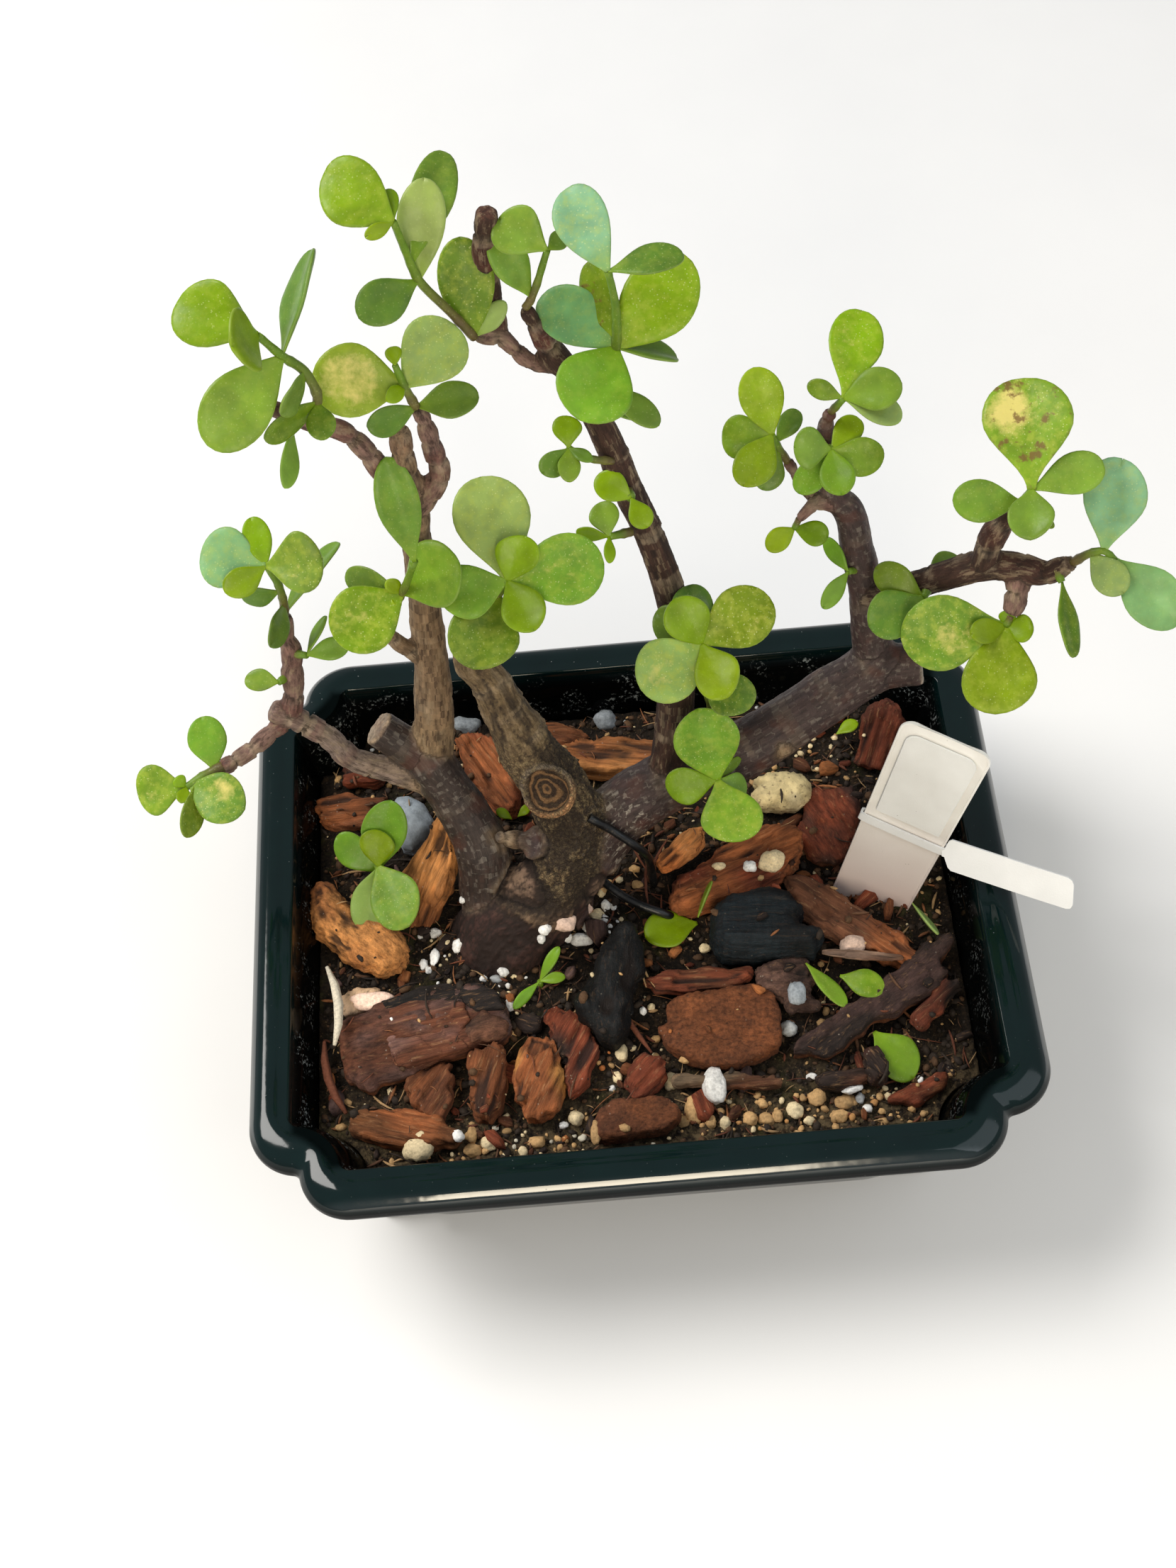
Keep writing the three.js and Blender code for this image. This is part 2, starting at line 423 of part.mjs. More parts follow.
  shoot_from_soil: { colour: BRIGHT,
    stem: [[-64.5, 16.5, 36, 1.1], [-64.5, 16.5, 46, 1.1], [-64.5, 17.5, 53, 0.9]],
    leaves: [[1.5, 80, 30, 19.5, 11.5, -10], [2, 65, 65, 9.5, 9, -25], [2, -115, -25, 16.5, 12.5, 20],
      [1.8, -55, -25, 18, 14.5, -10], [1.5, 140, 20, 14.5, 9, 50]] },
  weed_sprout: { colour: BRIGHT,
    stem: [[-24, -17.5, 36, 0.9], [-24.5, -17.5, 45.5, 0.7]],
    leaves: [[1, 50, 35, 10, 3, -10], [1, -140, -5, 9.5, 3, 35], [1, 5, 10, 6.5, 3, -20]] },
};

function makeSpray({ stem, leaves }, grow) {
  const blades = leaves.map(([at, ...form]) => blade(alongStem(stem, at), form, grow));
  return joined([limb(stem, grow), ...blades]);
}

// A lump along X: rings of five points with torn, uneven edges, then turned and placed.
function lump({ at, yaw, pitch = 0, roll = 0, size, seed, blunt = 0.5 }, grow) {
  const random = randomFrom(seed);
  const [length, width, height] = size.map((side) => side / 2 + grow);
  const euler = new THREE.Euler(rad(roll), rad(-pitch), rad(yaw), 'ZYX');
  const turn = new THREE.Quaternion().setFromEuler(euler);
  const rings = [-1, -0.62, -0.05, 0.55, 1].map((place) => {
    const fullness = 1 - (1 - blunt) * Math.abs(place) ** 3;
    return Array.from({ length: 5 }, (_, i) => {
      const angle = 2 * Math.PI * ((i + 0.25) / 5);
      const uneven = 0.8 + 0.4 * random();
      const y = width * fullness * uneven * Math.cos(angle);
      const z = height * fullness * (0.85 + 0.3 * random()) * Math.sin(angle) * 1.1;
      return v3(length * place * (0.94 + 0.06 * random()), y, z).applyQuaternion(turn).add(v3(...at));
    });
  });
  return toSolid(loft(rings));
}

// Bark chips, charcoal and stones: centre, turn in degrees and size along, across and up.
const BARK = '#8a5a38';
const LUMPS = {
  bark_knobbly: { colour: '#a9774a', at: [-67.5, 0.5, 46], yaw: -48,
    size: [25, 17, 11], seed: 1, blunt: 0.7 },
  bark_spike: { colour: '#9c5f33', at: [-50, 14, 53], yaw: 52, pitch: 42,
    size: [31, 10, 8], seed: 2, blunt: 0.35 },
  bark_back_left: { colour: BARK, at: [-69.5, 38, 44.5], yaw: 0, size: [22, 8, 5], seed: 3 },
  bark_red: { colour: '#8c4527', at: [-33, 48, 46], yaw: -62, size: [26, 12, 8], seed: 4 },
  bark_back: { colour: '#a06a3a', at: [-17.5, 57.5, 45.5], yaw: -14, pitch: 3,
    size: [28, 7.5, 6], seed: 5, blunt: 0.7 },
  bark_back_front: { colour: '#a87644', at: [-2, 47.5, 47], yaw: -14, pitch: 2,
    size: [32, 8.5, 7], seed: 6, blunt: 0.75 },
  bark_orange: { colour: '#b06a34', at: [14, 15, 47], yaw: 41, pitch: 7, size: [16, 6.5, 4.5], seed: 7 },
  bark_large: { colour: '#8a4c2c', at: [28, 9, 45.5], yaw: 20, pitch: 3, size: [38, 13, 9], seed: 8 },
  bark_flat: { colour: '#5f3426', at: [53, 21.5, 44.5], yaw: -67, roll: 10,
    size: [25, 14, 5], seed: 9, blunt: 0.7 },
  bark_upright: { colour: '#6e3423', at: [68.5, 45, 50], yaw: 61, pitch: 52,
    size: [21, 10.5, 5], seed: 10 },
  bark_bar: { colour: '#7a4630', at: [52.5, -9, 45], yaw: -43, size: [42, 7.5, 6], seed: 11, blunt: 0.6 },
  bark_round: { colour: '#6f5038', at: [20, -35, 46], yaw: -2, size: [28, 20, 6], seed: 12, blunt: 0.6 },
  bark_diagonal: { colour: '#3f3029', at: [58, -31, 46], yaw: 34, pitch: 2,
    size: [52, 8, 6], seed: 13, blunt: 0.6 },
  bark_slab: { colour: '#3a2d27', at: [-53.5, -28.5, 46], yaw: 10,
    size: [42, 19, 7], seed: 14, blunt: 0.6 },
  bark_front_left: { colour: '#6b4a35', at: [-56, -53.5, 45], yaw: -19,
    size: [29, 8, 6], seed: 15, blunt: 0.6 },
  bark_amber: { colour: '#a5602f', at: [-25, -44, 45.5], yaw: 65, pitch: 2, size: [23, 10, 6.5], seed: 16 },
  bark_block: { colour: '#6b4632', at: [-3.5, -56, 45.5], yaw: 2,
    size: [22, 9.5, 6], seed: 17, blunt: 0.8 },
  charcoal_ribbed: { colour: '#2a2c2f', at: [32, -9, 48.5], yaw: -6,
    size: [29, 19, 15], seed: 20, blunt: 0.75 },
  charcoal_pointed: { colour: '#26272a', at: [-7.5, -20, 47.5], yaw: -98, pitch: -5,
    size: [32, 17, 13], seed: 21, blunt: 0.4 },
  stone_grey_blue: { colour: '#8d959b', at: [-56, 31, 46.5], yaw: -88,
    size: [18, 11.5, 10], seed: 22, blunt: 0.7 },
  stone_cream: { colour: '#c9b68c', at: [41.5, 31.5, 46], yaw: -4,
    size: [17, 12, 9], seed: 23, blunt: 0.6 },
  stone_cream_small: { colour: '#c9a98a', at: [-70.5, -16.5, 45.5], yaw: 6,
    size: [11, 7, 6], seed: 24, blunt: 0.7 },
  dry_stick: { colour: '#7d5a3c', at: [58, -17, 49.5], yaw: -9, size: [20, 2, 2], seed: 25, blunt: 0.8 },
};
// Smaller chips that lie against a bigger one are one body with it.
const LEANING = {
  bark_slab: [
    { at: [-46.5, -43, 45.5], yaw: 57, size: [17, 8, 6], seed: 30 },
    { at: [-37, -42.5, 46.5], yaw: 71, size: [22, 8.5, 7], seed: 31, blunt: 0.7 },
  ],
  bark_round: [{ at: [15, -22, 45.5], yaw: -4, size: [27, 6.5, 5], seed: 32, blunt: 0.7 }],
  bark_block: [{ at: [1, -48.5, 45], yaw: -5, size: [14, 11, 5], seed: 33, blunt: 0.7 }],
};

function makeLump(name, grow) {
  return joined([LUMPS[name], ...(LEANING[name] ?? [])].map((form) => lump(form, grow)));
}

// Leaves that have dropped on the soil: where the foot of each lies, then its form as in the sprays.
const FALLEN = {
  fallen_leaf_front: { at: [16.1, -4, 44.3], form: [-167, 3, 13.8, 11, 0] },
  fallen_leaf_right: { at: [56, -39.2, 45.2], form: [-56, -6, 14.8, 11.5, 0] },
};

// The anchoring wire: over the root of the right trunk, down into the soil and back to the base.
const WIRE = [[-6, 11.5, 78.5], [-1.5, 9, 77], [2, 8.5, 73.5], [4.5, 9.5, 66], [5.5, 11, 56], [6, 12, 45],
  [8, 8, 36], [9.5, 2, 38], [8, -0.5, 44], [3, 0.5, 47], [-2.5, 2, 48.5], [-7, 5, 50.5]];

// The plant label: a tapered plastic stake, the sticker on it and the strap tag looped round it.
const STAKE = {
  foot: [55.5, -2.5, 26],
  top: [77.5, 8, 99.5],
  footWidth: 18.5,
  topWidth: 23.2,
  across: [0.91, -0.41, 0],
};
const STICKER = { low: 0.62, high: 0.965, margin: 2.4, thickness: 0.6 };
const BAND = { at: 0.565, height: 2.2, wall: 0.6 };
const TAG = { length: 33, height: 8, thickness: 0.7 };

function stakeFrame() {
  const foot = v3(...STAKE.foot);
  const rise = v3(...STAKE.top).sub(foot);
  const up = rise.clone().normalize();
  const across = v3(...STAKE.across).addScaledVector(up, -up.dot(v3(...STAKE.across))).normalize();
  return { foot, rise, across, facing: across.clone().cross(up) };
}

// A plate on the stake's plane between shares `low` and `high` of its height.
function stakePlate(low, high, narrower, near, far, roundTop) {
  const { foot, rise, across, facing } = stakeFrame();
  const shares = roundTop ? [low, high - 0.04, high - 0.012, high] : [low, high];
  const rings = shares.map((share, i) => {
    const width = STAKE.footWidth + (STAKE.topWidth - STAKE.footWidth) * share;
    const corner = roundTop ? [0, 0, 0.9, 3.4][i] : 0;
    const half = width / 2 - narrower - corner;
    const at = (w, d) => foot.clone().addScaledVector(rise, share).addScaledVector(across, w)
      .addScaledVector(facing, d);
    return [at(half, near), at(-half, near), at(-half, far), at(half, far)];
  });
  return toSolid(loft(rings));
}

function makeStake(grow) {
  const half = STAKE_THICKNESS / 2 + grow;
  return stakePlate(0, 1 + (grow && 0.01), -grow, -half, half, true);
}

function makeSticker() {
  const near = STAKE_THICKNESS / 2 + GAP;
  return stakePlate(STICKER.low, STICKER.high, STICKER.margin, near, near + STICKER.thickness, true);
}

function makeTag() {
  const { foot, rise, across, facing } = stakeFrame();
  const share = BAND.height / rise.length() / 2;
  const inner = STAKE_THICKNESS / 2 + GAP;
  const outer = inner + BAND.wall;
  const loop = stakePlate(BAND.at - share, BAND.at + share, -GAP - BAND.wall, -outer, outer, false)
    .subtract(stakePlate(BAND.at - 2 * share, BAND.at + 2 * share, -GAP, -inner, inner, false));
  const reach = v3(0.886, -0.462, 0).normalize();
  const fall = v3(-0.08, -0.62, -0.78).normalize();
  const out = fall.clone().cross(reach).normalize();
  const width = STAKE.footWidth + (STAKE.topWidth - STAKE.footWidth) * BAND.at;
  const corner = foot.clone().addScaledVector(rise, BAND.at).addScaledVector(across, width / 2 + GAP)
    .addScaledVector(facing, inner + 0.3);
  const rings = [[0, 1], [0.3, 1], [1.6, TAG.height / 2], [TAG.length - 2, TAG.height / 2],
    [TAG.length, TAG.height / 2 - 1.4]].map(([along, half]) => {
    const at = (w, d) => corner.clone().addScaledVector(reach, along - 0.2).addScaledVector(fall, w)
      .addScaledVector(out, d);
    const thick = TAG.thickness / 2;
    return [at(-half, -thick), at(-half, thick), at(half, thick), at(half, -thick)];
  });
  return loop.add(toSolid(loft(rings))).subtract(makeStake(GAP / 2));
}

const group = new THREE.Group();
function addPiece(name, solid, color, roughness, metalness = 0) {
  const material = new THREE.MeshStandardMaterial({ color, roughness, metalness });
  const mesh = new THREE.Mesh(toGeometry(solid.simplify(FLATNESS)), material);
  mesh.name = name;
  group.add(mesh);
}

// What is already in place, a little larger, so that each later piece keeps a gap to it.
const taken = [];
const buried = [];

addPiece('pot', makePot(), '#141d1c', 0.18);

const woodWithGap = makeWood(GAP);
addPiece('tree_wood', makeWood(0), '#5d4d44', 0.85);
taken.push(woodWithGap);
buried.push(woodWithGap);

const stakeWithGap = makeStake(GAP);
addPiece('label_stake', makeStake(0), '#d8d2c3', 0.45);
addPiece('label_sticker', makeSticker(), '#dcdad2', 0.5);
addPiece('strap_tag', makeTag(), '#e3e3e0', 0.45);
taken.push(stakeWithGap);
buried.push(stakeWithGap);

const wire = (grow) => limb(WIRE.map((point) => [...point, WIRE_RADIUS]), grow);
addPiece('anchor_wire', mainBody(wire(0).subtract(woodWithGap)), '#101112', 0.35);
taken.push(wire(GAP));
buried.push(wire(GAP));

Object.entries(SPRAYS).forEach(([name, spray]) => {
  addPiece(name, mainBody(carved(makeSpray(spray, 0), taken)), spray.colour, 0.35);
  if (name.includes('soil') || name.startsWith('weed')) {
    taken.push(makeSpray(spray, GAP));
    buried.push(makeSpray(spray, GAP));
  }
});

taken.push(makeSoil(GAP));
Object.entries(LUMPS).forEach(([name, { colour }]) => {
  addPiece(name, mainBody(carved(makeLump(name, 0), taken)), colour, 0.9);
  taken.push(makeLump(name, GAP));
});

Object.entries(FALLEN).forEach(([name, { at, form }]) => {
  addPiece(name, mainBody(carved(blade(v3(...at), form, 0), taken)), GREEN, 0.4);
});

addPiece('soil', mainBody(carved(makeSoil(0), buried)), '#2d211b', 0.98);

// The origin goes to the middle of the bottom of the part's box.
const box = new THREE.Box3().setFromObject(group);
group.position.set(-(box.min.x + box.max.x) / 2, -(box.min.y + box.max.y) / 2, -box.min.z);

export default group;
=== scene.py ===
import itertools
import math
import random

import bmesh
import bpy
import numpy as np
from mathutils import Matrix, Vector
from mathutils.bvhtree import BVHTree


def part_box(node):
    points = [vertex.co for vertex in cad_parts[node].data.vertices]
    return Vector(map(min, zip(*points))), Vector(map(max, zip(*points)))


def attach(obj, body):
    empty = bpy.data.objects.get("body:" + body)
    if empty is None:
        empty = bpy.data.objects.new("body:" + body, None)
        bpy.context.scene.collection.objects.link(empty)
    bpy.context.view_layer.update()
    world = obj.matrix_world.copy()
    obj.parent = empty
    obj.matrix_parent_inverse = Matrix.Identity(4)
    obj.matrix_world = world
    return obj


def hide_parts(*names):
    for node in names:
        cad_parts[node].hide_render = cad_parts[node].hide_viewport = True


# Lengths are millimetres round the middle of the pot, with z = 0 on the table, until to_metres().
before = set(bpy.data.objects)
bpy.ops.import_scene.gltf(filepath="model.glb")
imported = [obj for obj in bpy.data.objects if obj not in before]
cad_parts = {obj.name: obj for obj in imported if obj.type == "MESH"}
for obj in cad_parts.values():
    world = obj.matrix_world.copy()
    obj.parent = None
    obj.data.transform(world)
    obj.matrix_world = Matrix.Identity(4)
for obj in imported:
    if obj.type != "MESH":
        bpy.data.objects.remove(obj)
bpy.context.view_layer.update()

POT_WIDTH, POT_DEPTH, POT_HEIGHT = 190, 159, 58
RIM_WIDTH, NOTCH, CUSP_RADIUS = 10.5, 12, 2.5
FLOOR_TOP, SOIL_TOP = 10, 42
DRAIN_RADIUS, DRAIN_SPACING = 5.5, 70
WOOD_VOXEL, CHIP_VOXEL, THIN_CHIP_VOXEL = 0.62, 0.55, 0.35
LEAF_SEED, LITTER_SEED = 7, 41
RING_GAP, SCAR_UNIT = 1.7, 10
METRE = 1000

pot_low, pot_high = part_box("pot")
POT_CENTRE = np.array([(pot_low.x + pot_high.x) / 2, (pot_low.y + pot_high.y) / 2, 0])


def to_metres(points):
    return np.asarray(points, float) / METRE + POT_CENTRE


def linear(red, green, blue):
    """A display colour of 0 to 255 as linear light."""
    shares = np.array([red, green, blue], float) / 255
    return np.where(shares <= 0.04045, shares / 12.92, ((shares + 0.055) / 1.055) ** 2.4)


def unit(vectors):
    return vectors / np.maximum(np.linalg.norm(vectors, axis=-1, keepdims=True), 1e-9)


def lattice_noise(points, seed):
    """Smooth noise between -1 and 1 at each point."""
    cell = np.floor(points).astype(np.int64)
    part = points - cell
    part = part * part * (3 - 2 * part)
    total = np.zeros(len(points))
    for corner in itertools.product((0, 1), repeat=3):
        key = (cell + corner) @ np.array([73856093, 19349663, 83492791]) + seed * 97531
        key = ((key ^ (key >> 13)) * 1103515245) & 0x7FFFFFFF
        key = ((key ^ (key >> 11)) * 12345677) & 0x7FFFFFFF
        weight = np.prod(np.where(corner, part, 1 - part), axis=1)
        total += weight * (((key >> 8) & 0xFFFF) / 32767.5 - 1)
    return total


def fractal(points, size, octaves, seed):
    """Noise in ever finer and fainter octaves, the first with cells of `size`."""
    total = np.zeros(len(points))
    for octave in range(octaves):
        total += lattice_noise(points * (2**octave / size), seed + octave) / 2**octave
    return total


class Body:
    """Points, faces and named layers of four numbers a point."""

    def __init__(self, points, faces, **layers):
        self.points = np.asarray(points, float)
        self.faces = faces
        self.layers = {name: self.spread(values) for name, values in layers.items()}

    def spread(self, values):
        values = np.atleast_2d(np.asarray(values, float))
        return np.broadcast_to(values, (len(self.points), 4)).copy()


def merged(bodies):
    points, faces, first = [], [], 0
    for body in bodies:
        points.append(body.points)
        faces.extend([tuple(first + i for i in face) for face in body.faces])
        first += len(body.points)
    names = bodies[0].layers
    layers = {name: np.vstack([body.layers[name] for body in bodies]) for name in names}
    return Body(np.vstack(points), faces, **layers)


def loft(rings, capped=True):
    """A skin over rings of equally many points, counter-clockwise about the stack."""
    rings = np.asarray(rings, float)
    rows, count = rings.shape[:2]
    index = np.arange(rows * count).reshape(rows, count)
    turned = np.roll(index, -1, axis=1)
    quads = np.stack([index[:-1], turned[:-1], turned[1:], index[1:]], axis=-1)
    faces = quads.reshape(-1, 4).tolist()
    points = rings.reshape(-1, 3)
    if capped:
        points = np.vstack([points, rings[0].mean(0), rings[-1].mean(0)])
        foot, top = rows * count, rows * count + 1
        faces += [(foot, b, a) for a, b in zip(index[0].tolist(), turned[0].tolist())]
        faces += [(top, a, b) for a, b in zip(index[-1].tolist(), turned[-1].tolist())]
    return points, faces


def curve(points, per):
    """Places and radii along a centripetal Catmull-Rom curve, `per` steps a span."""
    rows = np.array(points, float)
    xyz, radius = rows[:, :3], rows[:, 3]
    knots = np.vstack([2 * xyz[0] - xyz[1], xyz, 2 * xyz[-1] - xyz[-2]])
    places, radii = [], []
    for k in range(len(xyz) - 1):
        a, b, c, d = knots[k : k + 4]
        before, here, after = (math.sqrt(np.linalg.norm(v)) for v in (b - a, c - b, d - c))
        start = ((b - a) / before - (c - a) / (before + here) + (c - b) / here) * here
        end = ((c - b) / here - (d - b) / (here + after) + (d - c) / after) * here
        for t in np.arange(per) / per:
            bend = (3 * (c - b) - 2 * start - end) * t**2 + (2 * (b - c) + start + end) * t**3
            places.append(b + start * t + bend)
            radii.append(radius[k] * (1 - t) + radius[k + 1] * t)
    return np.array([*places, xyz[-1]]), np.array([*radii, radius[-1]])


def lengths_along(places):
    """How far along the curve each place is."""
    steps = np.linalg.norm(np.diff(places, axis=0), axis=1)
    return np.concatenate([[0], np.cumsum(steps)])


def frames_along(places):
    """The curve's direction at each place, and two directions across it that don't spin."""
    tangent = unit(np.gradient(places, axis=0))
    chord = unit(places[-1] - places[0])
    reference = np.array([1.0, 0, 0]) if abs(chord[0]) < 0.6 else np.array([0, 1.0, 0])
    side = unit(reference - (tangent @ reference)[:, None] * tangent)
    return tangent, side, np.cross(tangent, side)


def tube(places, radii, sides):
    _, side, up = frames_along(places)
    angles = np.arange(sides) * 2 * np.pi / sides
    spoke = np.cos(angles)[None, :, None] * side[:, None] + np.sin(angles)[None, :, None] * up[:, None]
    return loft(places[:, None] + np.asarray(radii)[:, None, None] * spoke)


def work_object(points, faces):
    """A passing object, gone when its mesh is removed."""
    mesh = bpy.data.meshes.new("work")
    mesh.from_pydata(np.asarray(points).tolist(), [], faces)
    work = bpy.data.objects.new("work", mesh)
    bpy.context.scene.collection.objects.link(work)
    return work


def modified(work):
    """The points and faces of an object under its modifiers."""
    result = work.evaluated_get(bpy.context.evaluated_depsgraph_get()).to_mesh()
    points = np.zeros(len(result.vertices) * 3)
    result.vertices.foreach_get("co", points)
    faces = [tuple(face.vertices) for face in result.polygons]
    work.to_mesh_clear()
    return points.reshape(-1, 3), faces


def rounded(points, faces, voxel):
    """The solids' common skin as an even mesh."""
    work = work_object(points, faces)
    remesh = work.modifiers.new("remesh", "REMESH")
    remesh.mode = "VOXEL"
    remesh.voxel_size = voxel
    skin = modified(work)
    bpy.data.meshes.remove(work.data)
    return skin


def drilled(points, faces, tools):
    """The body joined with, or cut by, other bodies, each an operation and its skin."""
    made = [work_object(points, faces)]
    for operation, *skin in tools:
        made.append(work_object(*skin))
        cutter = made[0].modifiers.new("cut", "BOOLEAN")
        cutter.operation = operation
        cutter.solver = "EXACT"
        cutter.object = made[-1]
    skin = modified(made[0])
    for work in made:
        bpy.data.meshes.remove(work.data)
    return skin


def edges_of(faces):
    """Each edge once, as a pair of point numbers."""
    pairs = {(min(a, b), max(a, b)) for face in faces for a, b in zip(face, face[1:] + face[:1])}
    return np.array(sorted(pairs))


def softened(values, edges, rounds):
    """Each row drawn half-way to the mean of its neighbours, `rounds` times."""
    values = values.copy()
    count = np.bincount(edges.ravel(), minlength=len(values))[:, None]
    for _ in range(rounds):
        total = np.zeros_like(values)
        np.add.at(total, edges[:, 0], values[edges[:, 1]])
        np.add.at(total, edges[:, 1], values[edges[:, 0]])
        values += 0.5 * (total / count - values)
    return values


def normals_of(points, faces):
    mesh = bpy.data.meshes.new("work")
    mesh.from_pydata(points.tolist(), [], faces)
    found = np.zeros(len(points) * 3)
    mesh.vertex_normals.foreach_get("vector", found)
    bpy.data.meshes.remove(mesh)
    return found.reshape(-1, 3)


def add_piece(name, body, material, node=None, smooth=True):
    """Makes the body a piece of the scene, in place of the solid `node` if one is named."""
    mesh = bpy.data.meshes.new(name)
    mesh.from_pydata(to_metres(body.points).tolist(), [], body.faces)
    for layer, values in body.layers.items():
        made = mesh.attributes.new(layer, "FLOAT_COLOR", "POINT")
        made.data.foreach_set("color", values.astype(np.float32).ravel())
    mesh.polygons.foreach_set("use_smooth", [smooth] * len(mesh.polygons))
    mesh.materials.append(material)
    mesh.update()
    piece = bpy.data.objects.new(name, mesh)
    bpy.context.scene.collection.objects.link(piece)
    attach(piece, "root")
    if node:
        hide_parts(node)


class Look:
    """A procedural material; textures are sized in millimetres on the resting object."""

    def __init__(self, name):
        self.material = bpy.data.materials.new(name)
        self.material.use_nodes = True
        self.tree = self.material.node_tree
        self.shader = self.tree.nodes["Principled BSDF"]
        self.place = self.scaled(self.node("TexCoord").outputs["Object"], METRE)

    def node(self, kind, settings=None, feeds=None):
        made = self.tree.nodes.new("ShaderNode" + kind)
        for key, value in (settings or {}).items():
            setattr(made, key, value)
        for key, value in (feeds or {}).items():
            self.feed(made.inputs[key], value)
        return made

    def feed(self, socket, value):
        if isinstance(value, bpy.types.NodeSocket):
            self.tree.links.new(value, socket)
        elif hasattr(socket.default_value, "__len__") and len(socket.default_value) == 4:
            socket.default_value = (*value, 1) if len(value) == 3 else value
        else:
            socket.default_value = value

    def scaled(self, vector, scale):
        scale = (scale, scale, scale) if np.isscalar(scale) else scale
        made = self.node("VectorMath", {"operation": "MULTIPLY"}, {0: vector, 1: scale})
        return made.outputs["Vector"]

    def noise(self, size, detail=2.0, roughness=0.5, vector=None):
        feeds = {"Vector": vector or self.place, "Scale": 1 / size, "Detail": detail}
        feeds["Roughness"] = roughness
        return self.node("TexNoise", None, feeds).outputs["Fac"]

    def cells(self, size, feature="F1"):
        feeds = {"Vector": self.place, "Scale": 1 / size}
        return self.node("TexVoronoi", {"feature": feature}, feeds).outputs["Distance"]

    def layer(self, name):
        """A layer of the mesh, as a colour and the fourth number."""
        made = self.node("Attribute", {"attribute_name": name})
        return made.outputs["Color"], made.outputs["Alpha"]

    def parts(self, color):
        made = self.node("SeparateColor", None, {"Color": color})
        return [made.outputs[name] for name in ("Red", "Green", "Blue")]

    def span(self, value, low, high, to_low=0.0, to_high=1.0):
        """The value moved from one range to another, and held within it."""
        feeds = {"Value": value, "From Min": low, "From Max": high, "To Min": to_low, "To Max": to_high}
        return self.node("MapRange", None, feeds).outputs["Result"]

    def math(self, operation, a, b=0.0):
        return self.node("Math", {"operation": operation}, {0: a, 1: b}).outputs["Value"]

    def times(self, *values):
        result = values[0]
        for value in values[1:]:
            result = self.math("MULTIPLY", result, value)
        return result

    def mix(self, share, a, b, blend="MIX"):
        made = self.node("Mix", {"data_type": "RGBA", "blend_type": blend}, {0: share, 6: a, 7: b})
        return made.outputs[2]

    def finish(self, color, roughness, height, depth, **settings):
        """`depth` is how deep the height's full swing goes, in millimetres."""
        self.feed(self.shader.inputs["Base Color"], color)
        self.feed(self.shader.inputs["Roughness"], roughness)
        feeds = {"Height": height, "Distance": depth / METRE, "Strength": 1.0}
        bump = self.node("Bump", None, feeds)
        self.feed(self.shader.inputs["Normal"], bump.outputs["Normal"])
        for key, value in settings.items():
            self.feed(self.shader.inputs[key.replace("_", " ")], value)
        return self.material


def glaze_look():
    """Thick dark glaze: green on the rim's top and black on the walls, the black partly painted shade; dusty
    specks.
    """
    look = Look("glaze")
    zone, shine = look.layer("zone")
    green, dusty, crusty = look.parts(zone)
    cloud = look.noise(9, 3)
    # The walls and hollow take the black, partly as painted shade, and the rim's top takes the teal.
    black = look.mix(cloud, linear(2, 3, 3), linear(6, 7, 7))
    teal = look.mix(cloud, linear(2, 19, 20), linear(6, 28, 28))
    base = look.mix(green, black, teal)
    patchy = look.span(look.noise(14, 2), 0.5, 0.64)
    speck = look.times(look.span(look.cells(2.2), 0.07, 0.035), look.math("MAXIMUM", patchy, dusty))
    specks = look.times(speck, look.span(dusty, 0, 1, 0.25, 0.75))
    crust = look.times(look.span(look.noise(0.9, 4, 0.6), 0.56, 0.64), crusty)
    crust = look.times(crust, look.span(look.noise(8, 3), 0.5, 0.66))
    dust = look.math("MAXIMUM", specks, look.times(crust, 0.8))
    color = look.mix(dust, base, linear(160, 166, 164))
    film = look.span(look.noise(30, 4), 0.35, 0.75, 0.06, 0.16)
    roughness = look.math("MAXIMUM", film, look.times(dust, 0.8))
    height = look.math("ADD", look.times(look.noise(7, 2), 0.5), look.times(dust, 0.3))
    return look.finish(color, roughness, height, 0.12, Specular_IOR_Level=shine, IOR=1.8)


